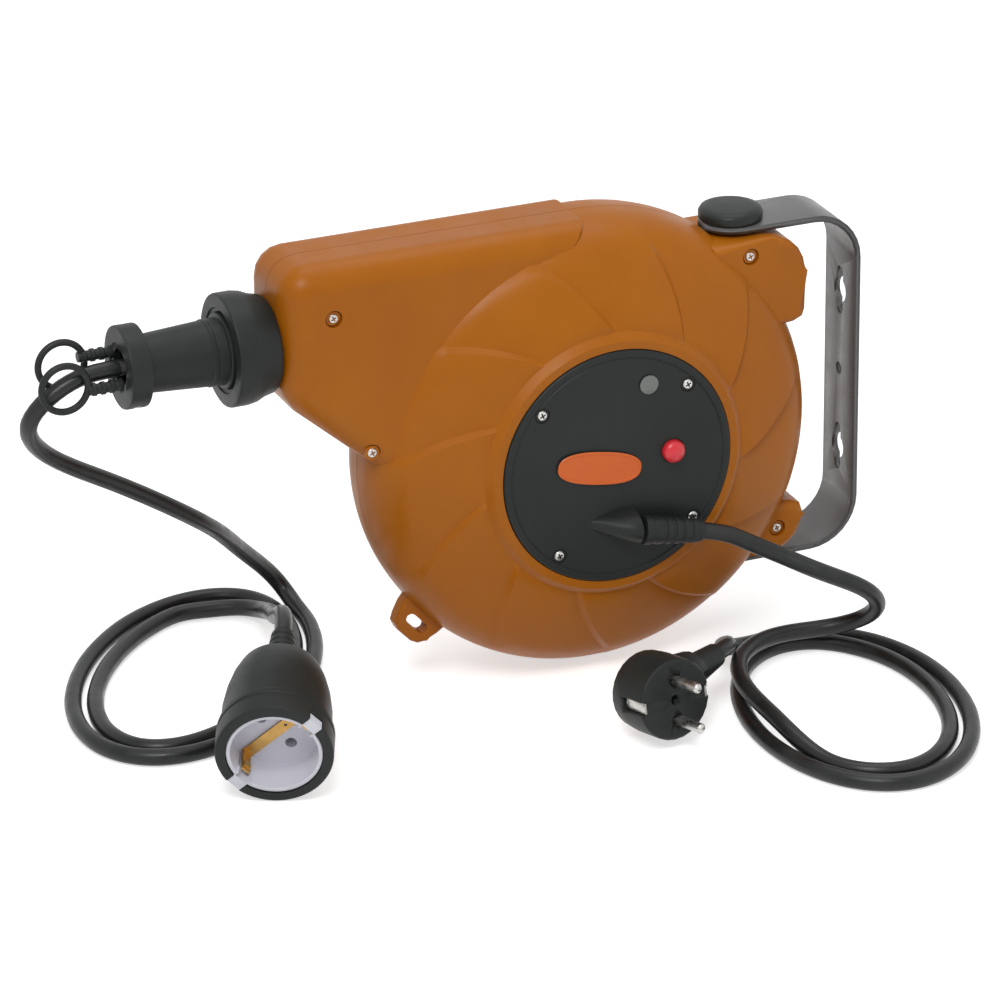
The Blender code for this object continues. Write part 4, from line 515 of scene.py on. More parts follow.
def swirl_lean(radius):
    """How far a crease has turned at a radius, measured from its inner end."""
    share = (radius - FACE_RADIUS) / (SHOULDER_RADIUS - FACE_RADIUS)
    return CREASE_LEAN * min(max(share, 0.0), 1.15)


def cavity_profile(opening):
    """Inside of a half shell, wall by wall parallel to the outside."""
    inner = DRUM_RADIUS - WALL - 0.0005
    floor = FACE_DEPTH - WALL + 0.0005
    profile = [
        (0, -0.001),
        (inner, -0.001),
        (inner, 0.007),
        (inner - 0.002, 0.014),
        (SHOULDER_RADIUS + 0.003, SHOULDER_DEPTH - 0.0075),
        (SHOULDER_RADIUS - WALL, SHOULDER_DEPTH - WALL),
        (FACE_RADIUS + 0.006, FACE_DEPTH - 2 * WALL),
        (RING_OUTER - 0.0015, floor),
    ]
    if opening:
        profile += [(COVER_OPENING, floor + 0.0015), (COVER_OPENING, CUT_REACH), (0, CUT_REACH)]
    else:
        profile += [(0, floor + 0.0005)]
    return profile


def swivel_pocket(level):
    """Room for the arm of the bracket over the whole swivel."""
    half = STRAP_WIDTH / 2 + 0.0012
    limit = math.degrees(SWIVEL_LIMIT)
    outline = arc((0, 0), half, 90 + limit, 270 - limit, 6)
    for angle in (-limit, limit):
        start = outline[-1] if angle < 0 else outline[0]
        turn = math.radians(angle)
        outline.append((start[0] + POCKET_REACH * math.cos(turn), start[1] + POCKET_REACH * math.sin(turn)))
    low, high = (level, level + POCKET_HEIGHT) if level > 0 else (level - POCKET_HEIGHT, level)
    return plate("pocket", outline, low, high, Matrix.Translation((PIVOT_X, 0, 0)))


def on_face(place, depth=0.0):
    """World point of a place on the drum's drawing plane, depth in front of the parting plane."""
    return Vector((AXIS_X + place[0], -depth, place[1]))


def blended(rows, between):
    """More rows on the smooth curve through the given (radius, depth, swell) rows."""
    out = []
    for k in range(len(rows) - 1):
        before, low = rows[max(k - 1, 0)], rows[k]
        high, after = rows[k + 1], rows[min(k + 2, len(rows) - 1)]
        for step in range(between):
            t = step / between
            row = []
            for a, b, c, d in zip(before, low, high, after):
                row.append(0.5 * (2 * b + (c - a) * t + (2 * a - 5 * b + 4 * c - d) * t * t
                                  + (3 * b - a - 3 * c + d) * t ** 3))
            out.append(tuple(row))
    return out + [rows[-1]]


def bulge(name, to_world, recess):
    """Round half of the housing: sloped face with the moulded swirl, and a rounded rim."""
    rim = DRUM_RADIUS - SHOULDER_RADIUS
    ring = [
        (COVER_RADIUS - 0.001, SHELL_DEPTH - recess, 0.0),
        (COVER_RADIUS + 0.001, SHELL_DEPTH, 0.0),
        (RING_OUTER - 0.001, SHELL_DEPTH, 0.0),
        (RING_OUTER - 0.0002, SHELL_DEPTH - 0.0006, 0.05),
        (FACE_RADIUS, FACE_DEPTH, 0.35),
    ]
    slope = [
        (FACE_RADIUS + 0.0012, FACE_DEPTH - 0.0004, 0.55),
        (FACE_RADIUS + 0.006, FACE_DEPTH - 0.0022, 1.0),
        ((FACE_RADIUS + SHOULDER_RADIUS) / 2 + 0.003, (FACE_DEPTH + SHOULDER_DEPTH) / 2 - 0.0006, 1.0),
        (SHOULDER_RADIUS, SHOULDER_DEPTH, 0.95),
        (SHOULDER_RADIUS + 0.46 * rim, SHOULDER_DEPTH - 0.0047, 0.5),
        (SHOULDER_RADIUS + 0.78 * rim, SHOULDER_DEPTH - 0.011, 0.15),
        (SHOULDER_RADIUS + 0.95 * rim, SHOULDER_DEPTH - 0.0185, 0.0),
        (DRUM_RADIUS, GAP / 2, 0.0),
    ]
    rows = ring + blended(slope, 4)
    columns = []
    sector = 2 * math.pi / CREASES
    for crease in range(CREASES):
        for station in range(STATIONS):
            share = (1.0 - CREASE_RISER) * station / (STATIONS - 1)
            height = 0.0 if station == STATIONS - 1 else 1.0 - share
            columns.append((CREASE_START + sector * (crease + share), height))
    body = bmesh.new()
    grid = []
    for radius, depth, swell in rows:
        ring = []
        for angle, height in columns:
            turn = angle + swirl_lean(radius)
            lift = depth + max(swell, 0.0) * CREASE_STEP * height
            ring.append(body.verts.new(polar(radius, turn, lift)))
        grid.append(ring)
    capped(body, grid)
    bmesh.ops.transform(body, matrix=to_world, verts=body.verts)
    return as_object(name, body)


def make_half(node, front, ochre):
    """One moulded half of the housing in full detail, in place of the frame's plain one."""
    side = "front" if front else "rear"
    to_world = FACE_ON if front else BACK_ON
    out = FRONT if front else -FRONT
    centre = (AXIS_X, 0, 0)
    mouth = (NOSE_X, 0, CABLE_HEIGHT)
    shell = bulge(side + "_moulding", to_world, 0.0 if front else 0.002)
    joins = [plate("nose", nose_outline(), GAP / 2, NOSE_DEPTH, to_world, NOSE_ROUND, 10)]
    for level, end in ((LUG_TOP, LUG_END), (LUG_BOTTOM, -LUG_END)):
        joins.append(plate("lug", lug_outline(level, end), GAP / 2, LUG_DEPTH, to_world, LUG_ROUND, 6))
    cuts = []
    if front:
        tab = eyelet_outline(False)
        joins.append(plate("eyelet", tab, GAP / 2, EYELET_DEPTH, to_world, EYELET_ROUND, 5))
        seat = -COVER_FACE - COVER_THICKNESS - GAP
        cuts.append(rod("seat", COVER_RADIUS + GAP, seat, CUT_REACH, centre, out, 96))
        cuts.append(plate("slot", eyelet_outline(True), -0.01, 0.02, to_world))
        for x, y, depth in SHELL_SCREWS.values():
            low = depth - SCREW_HEAD_DEPTH - GAP
            cuts.append(rod("sink", SCREW_HEAD + 2 * GAP, low, depth + 0.01, on_face((x, y)), out, 32))
    cuts.append(turned("cavity", cavity_profile(front), centre, out, 24))
    hollow = NOSE_DEPTH - WALL
    cuts.append(plate("nose_cavity", nose_outline(WALL), -0.001, hollow, to_world, NOSE_ROUND - WALL))
    cuts.append(rod("mouth", MOUTH_RADIUS, -0.01, WALL + 0.004, mouth, -LEFT, 48))
    for level in (LUG_TOP, LUG_BOTTOM):
        cuts.append(swivel_pocket(level))
        depth = BUSH_LENGTH + GAP
        low, high = (level - depth, level + 0.01) if level > 0 else (level - 0.01, level + depth)
        cuts.append(rod("pivot_bore", PIVOT_BORE, low, high, (PIVOT_X, 0, 0), UP, 32))
    carve(shell, joins, cuts)
    settle(shell, node, ochre, degrees=24)


def carve(target, joins, cuts):
    """Add the joins to the target, take the cuts away, and throw these tools away."""
    for operation, tools in (("UNION", joins), ("DIFFERENCE", cuts)):
        for tool in tools:
            step = target.modifiers.new(operation, "BOOLEAN")
            step.operation = operation
            step.solver = "MANIFOLD"
            step.object = tool
    graph = bpy.context.evaluated_depsgraph_get()
    graph.update()
    done = bpy.data.meshes.new_from_object(target.evaluated_get(graph))
    target.modifiers.clear()
    target.data = done
    for tool in (*joins, *cuts):
        bpy.data.objects.remove(tool, do_unlink=True)


def settle(piece, node, *fills, degrees=SMOOTH_ANGLE):
    """Give a piece its materials, put it on the housing's body and hide the node it stands for."""
    kinds = [face.material_index for face in piece.data.polygons]
    piece.data.materials.clear()
    for fill in fills:
        piece.data.materials.append(fill)
    for face, kind in zip(piece.data.polygons, kinds):
        face.material_index = min(kind, len(fills) - 1)
    piece.data.transform(piece.matrix_basis)
    piece.matrix_basis = Matrix()
    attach(piece, "housing")
    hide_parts(node)
    soften(piece, degrees)
    return piece


# -------- cover, badge, screws and nose
COVER_SCREW_INSET = 0.0075
COVER_SCREW_ANGLES = (45.0, 140.0, 233.0, 320.0)
SCREW_LENGTH = 0.01
SCREW_BRIGHT = 0.66  # share of the head's radius that is bare steel
SHELL_SCREW_SCALE = 0.95
CROSS_ANGLES = (25.0, 115.0)
BADGE_CENTRE = (-0.0098, 0.0013)
BADGE_HALF = (0.021, 0.008)
BADGE_THICKNESS = 0.0012
BADGE_RIM = 0.0012
BADGE_TILT = -10.0
BADGE_SQUARE = 0.8  # under 1 the oval's ends fill out towards a rounded bar
BUTTON_PLACE = (0.0273, 0.0031)
BUTTON_RADIUS = 0.0055
HOOD_LEFT = -0.0165
HOOD_RIGHT = 0.007
HOOD_LEVEL = -0.0295
HOOD_HALF = 0.0085
HOOD_HEIGHT = 0.0148
BELL_RADIUS = 0.026
BELL_NECK = 0.0215
BELL_LENGTH = 0.022
BARREL_BASE = 0.0155
BARREL_TIP = 0.01325
BARREL_LENGTH = 0.038
BARREL_SEAT = 0.0035  # how deep the barrel sits in the bell
BORE = 0.0085
COLLAR_RADIUS = 0.019
COLLAR_LENGTH = 0.01
COLLAR_SCREW_ANGLES = (-152.0, 28.0)
COLLAR_SINK = 0.0029
LOOP_RADIUS = 0.0108
LOOP_BAR = 0.0016
LOOP_STEM = 0.015
LOOP_SPREAD = 0.0064
LOOP_STEP = 0.003
STEM_RIBS = ((0.0242, 0.0004), (0.1, 0.0), (0.5, 0.0), (0.6, 0.0005), (0.98, 0.0006))


def hood():
    """Moulded hood: a half round that swells smoothly from the cover to the cable outlet."""
    body = bmesh.new()
    rings = []
    stations, around = 18, 24
    for k in range(stations + 1):
        share = k / stations
        x = HOOD_LEFT + (HOOD_RIGHT - HOOD_LEFT) * share
        half = HOOD_HALF * (0.1 + 0.9 * share ** 0.75)
        height = HOOD_HEIGHT * (0.02 + 0.98 * (math.sin(share * math.pi / 2)) ** 1.3)
        ring = []
        for i in range(around + 1):
            angle = math.pi * i / around
            level = HOOD_LEVEL + half * math.cos(angle) + 0.003 * (1 - share)
            ring.append((x, level, COVER_THICKNESS / 2 + height * math.sin(angle) ** 0.85))
        rings.append([body.verts.new(p) for p in ring])
    capped(body, rings)
    lift = Matrix.Translation((0, COVER_FACE + COVER_THICKNESS, 0))
    bmesh.ops.transform(body, matrix=lift @ FACE_ON, verts=body.verts)
    return as_object("hood", body)


def cover_screw_places():
    """Places of the four cover screws on the drum's drawing plane."""
    ring = COVER_RADIUS - COVER_SCREW_INSET
    return [polar(ring, math.radians(angle)) for angle in COVER_SCREW_ANGLES]


def make_cover(black):
    """Front cover with a rolled edge, a groove near the rim, its hood and its holes."""
    edge, top = COVER_RADIUS, COVER_THICKNESS
    profile = [(0, 0), (edge - 0.0004, 0), (edge, 0.0004), (edge, top - 0.0012)]
    profile += [(edge - 0.0003, top - 0.0005), (edge - 0.0008, top - 0.0001), (edge - 0.0014, top)]
    profile += [(edge - 0.0034, top), (edge - 0.0037, top - 0.0003), (edge - 0.0041, top - 0.0003)]
    profile += [(edge - 0.0044, top), (0, top)]
    cover = turned("cover_detail", profile, (AXIS_X, COVER_FACE + COVER_THICKNESS, 0), FRONT, 128)
    cuts = []
    for place in cover_screw_places():
        sink = SCREW_HEAD + 0.0002
        cuts.append(rod("sink", sink, SHELL_DEPTH - 0.0012, CUT_REACH, on_face(place), FRONT, 32))
    cuts.append(rod("button_hole", BUTTON_RADIUS + GAP, 0, CUT_REACH, on_face(BUTTON_PLACE), FRONT, 40))
    carve(cover, [hood()], cuts)
    settle(cover, "front_cover", black, degrees=28)


def make_badge(orange, black):
    """Bare oval plate with a raised rim, where the real one carries a name."""
    body = bmesh.new()
    back = SHELL_DEPTH + COVER_PROUD + GAP
    top = back + BADGE_THICKNESS
    tilt = Matrix.Rotation(math.radians(BADGE_TILT), 3, "Z")
    rings = []
    low = top - 0.0003
    edge = [(0, back), (0, low), (0.0003, top), (BADGE_RIM, top)]
    for inset, height in edge + [(BADGE_RIM + 0.0002, low), (BADGE_RIM + 0.0008, low)]:
        wide, high = BADGE_HALF[0] - inset, BADGE_HALF[1] - inset
        ring = []
        for turn in angles(72):
            across = math.copysign(abs(math.cos(turn)) ** BADGE_SQUARE, math.cos(turn))
            along = math.copysign(abs(math.sin(turn)) ** BADGE_SQUARE, math.sin(turn))
            spot = tilt @ Vector((wide * across, high * along, height))
            ring.append(body.verts.new(spot + Vector((*BADGE_CENTRE, 0))))
        rings.append(ring)
    for face in capped(body, rings)[:len(rings[0])]:
        face.material_index = 1
    bmesh.ops.transform(body, matrix=FACE_ON, verts=body.verts)
    settle(as_object("badge_detail", body), "badge_plate", orange, black)


def make_screw(node, place, top, scale, steel, ring):
    """Pan head with a cross recess in a rim; top is its height over the parting plane. The rim, the floor of
    the cross and the shank take the ring fill, which is painted shadow on the cover screws.
    """
    wide = SCREW_HEAD * scale
    bright = wide * SCREW_BRIGHT
    profile = [(0, top - SCREW_LENGTH), (wide * 0.5, top - SCREW_LENGTH), (wide * 0.5, top - 0.0018)]
    profile += [(wide, top - 0.0018), (wide, top - 0.0009), (bright + 0.0002, top - 0.0009)]
    profile += [(bright, top - 0.0006), (bright * 0.86, top - 0.0002), (bright * 0.5, top - 0.00003)]
    profile.append((0, top))
    head = turned(node + "_head", profile, place, FRONT, 40)
    on_head = Matrix.Translation(place) @ UP.rotation_difference(FRONT).to_matrix().to_4x4()
    slot = oblong(1, -bright * 0.62, bright * 0.62, bright * 0.15)
    cuts = []
    for angle in CROSS_ANGLES:
        turned_in = on_head @ Matrix.Rotation(math.radians(angle), 4, "Z")
        cuts.append(plate("cross", slot, top - 0.0008, top + 0.001, turned_in))
    carve(head, [], cuts)
    # the second fill goes on the rim, the floor of the cross and the shank: painted shadow on the cover
    # screws, plain ochre on the housing screws
    for face in head.data.polygons:
        spot = face.center
        rim = math.hypot(spot.x, spot.y) > bright * 0.97 or spot.z < top - 0.0007
        face.material_index = 1 if rim else 0
    settle(head, node, steel, ring)


def make_screws(steel, shadow, ochre):
    """Four cover screws in rims of painted shadow and four housing screws in ochre rims."""
    top = SHELL_DEPTH + COVER_PROUD + 0.0006
    for i, place in enumerate(cover_screw_places()):
        make_screw("cover_screw_%d" % (i + 1), on_face(place), top, 1.0, steel, shadow)
    for name, (x, y, depth) in SHELL_SCREWS.items():
        make_screw(name, on_face((x, y)), depth - GAP, SHELL_SCREW_SCALE, steel, ochre)


def make_nose(black):
    """Bell, barrel and collar with true round walls and small moulding steps, and the two guide loops."""
    at = (NOSE_X, 0, CABLE_HEIGHT)
    neck = MOUTH_RADIUS - GAP
    inside = -WALL + 0.0003
    wide, base, face = BELL_RADIUS, BARREL_BASE, BELL_LENGTH
    seat = face - BARREL_SEAT
    profile = [(BORE, inside), (neck, inside), (neck, GAP), (BELL_NECK, GAP), (BELL_NECK + 0.001, 0.0015)]
    profile += [(wide - 0.0024, 0.0062), (wide - 0.0007, 0.01), (wide, 0.014), (wide, face - 0.0012)]
    profile += [(wide - 0.0003, face - 0.0004), (wide - 0.001, face), (base + 0.0042, face)]
    profile += [(base + 0.0038, face - 0.0008), (base + 0.0022, face - 0.0012), (base + 0.0022, seat)]
    profile.append((BORE, seat))
    settle(turned("bell_detail", profile, at, LEFT, 96), "nose_bell", black)
    foot = seat + GAP
    end = face + BARREL_LENGTH
    profile = [(BORE, foot), (base + 0.0018, foot), (base + 0.0018, face + 0.0004)]
    profile += [(base + 0.0014, face + 0.0009), (base, face + 0.0012)]
    profile += [(base - 0.0004, face + 0.006), (base - 0.0001, face + 0.0064)]
    profile += [(base - 0.0001, face + 0.0078), (base - 0.0005, face + 0.0082)]
    profile += [(BARREL_TIP + 0.0002, end - 0.004), (BARREL_TIP, end), (BORE, end)]
    settle(turned("barrel_detail", profile, at, LEFT, 80), "nose_barrel", black)
    start = end + GAP
    stop = start + COLLAR_LENGTH
    wide = COLLAR_RADIUS
    profile = [(BORE, start), (wide - 0.001, start), (wide - 0.0002, start + 0.0003)]
    profile += [(wide, start + 0.001), (wide, stop - 0.001), (wide - 0.0002, stop - 0.0003)]
    profile += [(wide - 0.001, stop), (BORE + 0.003, stop), (BORE + 0.002, stop - 0.0008)]
    profile.append((BORE, stop - 0.0008))
    collar = turned("collar_detail", profile, at, LEFT, 96)
    middle = Vector(at) + LEFT * (start + COLLAR_LENGTH / 2)
    cuts = []
    for angle in COLLAR_SCREW_ANGLES:
        turn = math.radians(angle)
        out = Vector((0, math.sin(turn), math.cos(turn)))
        cuts.append(rod("collar_sink", COLLAR_SINK, wide - 0.0018, 0.03, middle, out, 28))
    carve(collar, [], cuts)
    settle(collar, "nose_collar", black)
    for word, side in (("front", -1), ("rear", 1)):
        guide_loop("guide_loop_" + word, side, stop, black)


def ribs(start, end, count, first, last, marks):
    """Profile of ribs, their tops from the first radius to the last; marks are shares of a rib and drops."""
    points = []
    pitch = (end - start) / count
    for i in range(count):
        radius = first + (last - first) * i / (count - 1)
        points += [(radius - drop, start + pitch * (i + share)) for share, drop in marks]
    return points


def guide_loop(node, side, start, black):
    """A ring on a ribbed stem; two of them hold the cable between them."""
    y = side * LOOP_SPREAD
    z = CABLE_HEIGHT + side * LOOP_STEP
    centre_x = NOSE_X - start - LOOP_STEM - LOOP_RADIUS + side * 0.0015
    body = bmesh.new()
    rings = []
    for angle in angles(56):
        ring = []
        for turn in angles(14):
            out, aside = polar(LOOP_BAR, turn)
            x, rise = polar(LOOP_RADIUS + out, angle)
            ring.append(body.verts.new((centre_x + x, y + aside, z + rise)))
        rings.append(ring)
    skinned(body, rings + rings[:1])
    length = LOOP_STEM + 0.0015
    profile = [(0, 0)] + ribs(0, length, 4, 0.003, 0.003, STEM_RIBS) + [(0, length)]
    loop = as_object(node + "_detail", body)
    stem = turned("stem", profile, (NOSE_X - start - GAP, y, z + side * 0.0025), LEFT, 24)
    carve(loop, [stem], [])
    settle(loop, node, black, degrees=32)


# -------- coupling socket and strain reliefs
INSERT_RADIUS = 0.0215
RECESS_RADIUS = 0.0197
RECESS_DEPTH = 0.0175
SOCKET_RADIUS = 0.0265
SOCKET_BACK = 0.02
PIN_PITCH = 0.019
PIN_HOLE = 0.0027
EAR_NEAR = 0.0185  # white ears of the insert, in gaps of the body's rim
EAR_FAR = 0.0256
EAR_HALF = 0.004
EAR_DEPTH = 0.005
STRAP_SIDE = Vector((0.606, -0.442, 0.661))  # the way the earth strap lies across the face
STRAP_HALF = 0.0027
FINGER_HALF = 0.0022
BEND_HALF = 0.0018
SOCKET_RIBS = ((0.08, 0.0), (0.6, 0.0002), (0.68, 0.001), (0.96, 0.001))
RELIEF_RIBS = ((0.0, 0.0), (0.62, 0.0001), (0.7, 0.0006), (0.94, 0.0006))


def oblong(side, near, far, half):
    """Rectangle between two distances from the middle, on one side of it."""
    return [(side * near, -half), (side * far, -half), (side * far, half), (side * near, half)]


def make_socket(black, white, brass):
    """Coupling socket: banded black body, white insert with its ears, brass earth strap, ribbed relief."""
    back = SOCKET_AXIS.normalized()
    across = (STRAP_SIDE - back * STRAP_SIDE.dot(back)).normalized()
    face = Matrix((across, back.cross(across), back)).transposed().to_4x4()
    face = Matrix.Translation(SOCKET_RIM) @ face
    sides = (-1, 1)
    shell = socket_body(back)
    room = EAR_DEPTH + 0.0002
    outlines = [oblong(side, EAR_NEAR, EAR_FAR + 0.01, EAR_HALF) for side in sides]
    carve(shell, [], [plate("ear_room", outline, -0.001, room, face) for outline in outlines])
    pieces = [settle(shell, "connector_shell", black)]
    bore, wide, floor = RECESS_RADIUS, INSERT_RADIUS, RECESS_DEPTH
    profile = [(bore, 0.001), (bore + 0.0003, 0.0007), (wide - 0.0003, 0.0007), (wide, 0.001)]
    profile += [(wide, 0.042), (0, 0.042), (0, floor), (bore - 0.0012, floor)]
    profile += [(bore - 0.0003, floor - 0.0004), (bore, floor - 0.0014)]
    insert = turned("socket_insert", profile, SOCKET_RIM, back, 96)
    joins, cuts = [], []
    for side in sides:
        ear = oblong(side, EAR_NEAR, EAR_FAR, EAR_HALF - 0.0002)
        joins.append(plate("ear", ear, 0.0004, EAR_DEPTH, face))
        hole = face @ Vector((0, side * PIN_PITCH / 2, 0))
        cuts.append(rod("pin_hole", PIN_HOLE, floor - 0.005, 0.038, hole, back, 32))
        slot = oblong(side, bore - 0.003, bore + 0.0012, 0.0034)
        cuts.append(plate("clip_slot", slot, -0.001, floor - 0.001, face))
    carve(insert, joins, cuts)
    pieces.append(settle(insert, "connector_insert", white))
    half = bore - 0.001
    strap = plate("socket_strap", oblong(1, -half, half, STRAP_HALF), floor - 0.0011, floor - 0.0003, face)
    joins = []
    for side in sides:
        finger = oblong(side, half - 0.0009, half + 0.0001, FINGER_HALF)
        joins.append(plate("finger", finger, 0.0045, floor - 0.0006, face))
        bend = oblong(side, half - 0.0019, half - 0.0006, BEND_HALF)
        joins.append(plate("bend", bend, 0.0062, 0.0092, face))
    rivet = face @ Vector((0.006, 0, 0))
    carve(strap, joins, [rod("rivet_hole", 0.0008, 0.01, 0.02, rivet, back, 20)])
    pieces.append(settle(strap, "connector_earth_strap", brass))
    start = SOCKET_RIM + back * (SOCKET_LENGTH + GAP)
    length = SOCKET_RELIEF - 2 * GAP
    profile = [(0, 0), (0.0086, 0.0001), (0.008, 0.002)]
    profile += ribs(0.002, length, 5, 0.0074, 0.0056, SOCKET_RIBS) + [(0.0046, length), (0, length)]
    relief = turned("socket_relief", profile, start, back, 48)
    pieces.append(settle(relief, "connector_strain_relief", black))
    return pieces


def socket_body(back):
    """Round black body with a band behind its rim, narrowing to the strain relief."""
    bore, wide, tail, end = INSERT_RADIUS + GAP, SOCKET_RADIUS, SOCKET_BACK, SOCKET_LENGTH - GAP
    profile = [(bore, 0), (wide - 0.0012, 0), (wide - 0.0003, 0.0004), (wide, 0.0012), (wide, 0.0105)]
    profile += [(wide - 0.0005, 0.011), (wide - 0.0005, 0.0122), (wide, 0.0127), (wide, 0.0148)]
    profile += [(wide - 0.0012, 0.016), (wide - 0.0016, 0.018), (wide - 0.0018, 0.03)]
    profile += [(wide - 0.003, 0.04), (wide - 0.005, 0.049), (tail - 0.001, 0.056)]
    profile += [(tail - 0.006, 0.06), (tail - 0.01, end), (0, end), (0, 0.052), (bore, 0.044)]
    return turned("socket_body", profile, SOCKET_RIM, back, 96)


def make_relief(black):
    """Tapered, ringed strain relief between the hood and the supply cord."""
    length = RELIEF_LENGTH
    profile = [(0, 0), (0.0066, 0), (0.0068, 0.0004), (0.0068, 0.0032), (0.0063, 0.004), (0.0063, 0.0052)]
    profile += ribs(0.006, length - 0.0015, 5, 0.0066, 0.00572, RELIEF_RIBS)
    profile += [(0.005, length - 0.0008), (0.0046, length), (0, length)]
    relief = turned("relief_detail", profile, RELIEF_START, RELIEF_AXIS.normalized(), 48)
    settle(relief, "supply_strain_relief", black)


# -------- cords
def smooth_route(points, first, last):
    """The given points joined by one smooth cubic that leaves and arrives straight."""
    ends = [points[0], points[0] + first * 2 * CABLE_RADIUS] + [Vector(p) for p in points[1:-1]]
    ends += [points[-1] - last * 2 * CABLE_RADIUS, points[-1]]
    knots = ends[1:-1]
    count = len(knots)
    chord = [(b - a).length for a, b in zip(knots, knots[1:])]
    matrix = np.eye(count)
    slopes = np.zeros((count, 3))
    slopes[0] = first
    slopes[-1] = last
    for i in range(1, count - 1):
        before, after = chord[i - 1], chord[i]
        matrix[i, i - 1:i + 2] = (after, 2 * (before + after), before)
        rise, fall = knots[i] - knots[i - 1], knots[i + 1] - knots[i]
        slopes[i] = 3 * (after / before * rise + before / after * fall)
    slopes = [Vector(row) for row in np.linalg.solve(matrix, slopes)]
    route = [ends[0]]
    for i in range(count - 1):
        pieces = max(1, round(chord[i] / ROUTE_STEP))
        for k in range(pieces):
            t = k / pieces
            start = knots[i] * (1 + 2 * t) * (1 - t) ** 2 + slopes[i] * chord[i] * t * (1 - t) ** 2
            stop = knots[i + 1] * t ** 2 * (3 - 2 * t) + slopes[i + 1] * chord[i] * t ** 2 * (t - 1)
            route.append(start + stop)
    return route + ends[-2:]


def coil_route(centre, wide, deep, stations):
    """Turns of a coil on the floor: an oval, with each station's inset and lift on the way round."""
    route = []
    first, last = stations[0][0], stations[-1][0]
    for angle in range(first, last + 1, COIL_STEP):
        for low, high in zip(stations, stations[1:]):
            if low[0] <= angle <= high[0]:
                share = (angle - low[0]) / (high[0] - low[0])
                ease = share * share * (3 - 2 * share)
                inset = low[1] + (high[1] - low[1]) * ease
                lift = low[2] + (high[2] - low[2]) * ease
        turn = math.radians(angle)
        place = wide * math.cos(turn) + deep * math.sin(turn)
        along = (deep * math.cos(turn) - wide * math.sin(turn)).normalized()
        inward = Vector((-along.y, along.x, 0))
        if inward.dot(place) > 0:
            inward = -inward
        route.append(centre + place + inward * inset + UP * lift)
    return route


def heading(route, end=False):
    """Direction of a route at its start, or at its end."""
    a, b = (route[-2], route[-1]) if end else (route[0], route[1])
    return (b - a).normalized()


def joined(start, first, lead, stations, tail, end, last):
    """One route from end to end: the lead, the coil and the tail."""
    coil = coil_route(*stations)
    way_in = heading(coil)
    way_out = heading(coil, True)
    route = smooth_route([start, *lead, coil[0]], first, way_in)
    route += coil[1:]
    return route + smooth_route([coil[-1], *tail, end], way_out, last)[1:]


def rounded(route, passes):
    """The same route with its small corners averaged away; the ends stay put."""
    for _ in range(passes):
        middle = [(a + b * 2 + c) / 4 for a, b, c in zip(route, route[1:], route[2:])]
        route = [route[0]] + middle + [route[-1]]
    return route


def sheath(name, route, material):
    """Round cable along the route."""
    curve = bpy.data.curves.new(name, "CURVE")
    curve.dimensions = "3D"
    curve.bevel_depth = CABLE_RADIUS
    curve.bevel_resolution = 5
    curve.use_fill_caps = True
    line = curve.splines.new("POLY")
    line.points.add(len(route) - 1)
    for point, place in zip(line.points, route):
        point.co = (*place, 1)
    line.use_smooth = True
    curve.materials.append(material)
    obj = bpy.data.objects.new(name, curve)
    bpy.context.collection.objects.link(obj)
    return obj


def make_cords(material):
    """Supply cord from the hood to the plug, and outlet cord from the nose to the socket."""
    out = RELIEF_AXIS.normalized()
    neck = PLUG_NECK.normalized()
    start = RELIEF_START + out * (RELIEF_LENGTH + GAP)
    plug_end = PLUG_FACE - PLUG_AXIS.normalized() * PLUG_DEPTH / 2 + neck * (PLUG_REACH + GAP)
    oval = (SUPPLY_COIL, SUPPLY_COIL_WIDE, SUPPLY_COIL_DEEP, SUPPLY_STATIONS)
    route = rounded(joined(start, out, SUPPLY_LEAD, oval, SUPPLY_TAIL, plug_end, -neck), 4)
    supply = sheath("supply_cord", route, material)
    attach(supply, "housing")
    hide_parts("supply_cord_lead", "supply_cord_coil", "supply_cord_tail")
    back = SOCKET_AXIS.normalized()
    socket_end = SOCKET_RIM + back * (SOCKET_LENGTH + SOCKET_RELIEF + GAP)
    start = OUTLET_MOUTH + LEFT * GAP
    oval = (OUTLET_COIL, OUTLET_COIL_WIDE, OUTLET_COIL_DEEP, OUTLET_STATIONS)
    route = rounded(joined(start, LEFT, OUTLET_LEAD, oval, OUTLET_TAIL, socket_end, -back), 4)
    outlet = sheath("outlet_cord", route, material)
    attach(outlet, "housing")
    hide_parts("outlet_cord_lead", "outlet_cord_coil", "outlet_cord_tail")


# -------- stage
PAPER_GLOW = 0.6  # what the camera, metal and gloss see on top of the lit ground
WORLD_LIGHT = 0.32
GROUND_HALF = 6.0
LIGHT_AIM = (-0.19, -0.04, 0.0)
STUDIO = {  # place, size and power of each lamp
    "key": ((-0.9, -1.1, 1.5), 0.8, 17),
    "fill": ((1.3, -1.5, 0.7), 1.6, 3),
    "top": ((0.1, 0.3, 1.8), 1.4, 9),
}


def seen_directly(tree):
    """1 for camera, glossy and transmission rays, 0 for the light that falls on the object."""
    path = tree.nodes.new("ShaderNodeLightPath")
    total = path.outputs["Is Camera Ray"]
    for name in ("Is Glossy Ray", "Is Transmission Ray"):
        add = tree.nodes.new("ShaderNodeMath")
        add.operation = "MAXIMUM"
        tree.links.new(total, add.inputs[0])
        tree.links.new(path.outputs[name], add.inputs[1])
        total = add.outputs[0]
    return total


def show_paper(shader, glow):
    """The ground looks like white paper without casting more light on the object."""
    scale = shader.node("ShaderNodeMath", operation="MULTIPLY")
    scale.inputs[1].default_value = glow
    shader.link(seen_directly(shader.tree), scale.inputs[0])
    shader.put("Emission Color", (1, 1, 1, 1))
    shader.link(scale.outputs[0], shader.surface.inputs["Emission Strength"])


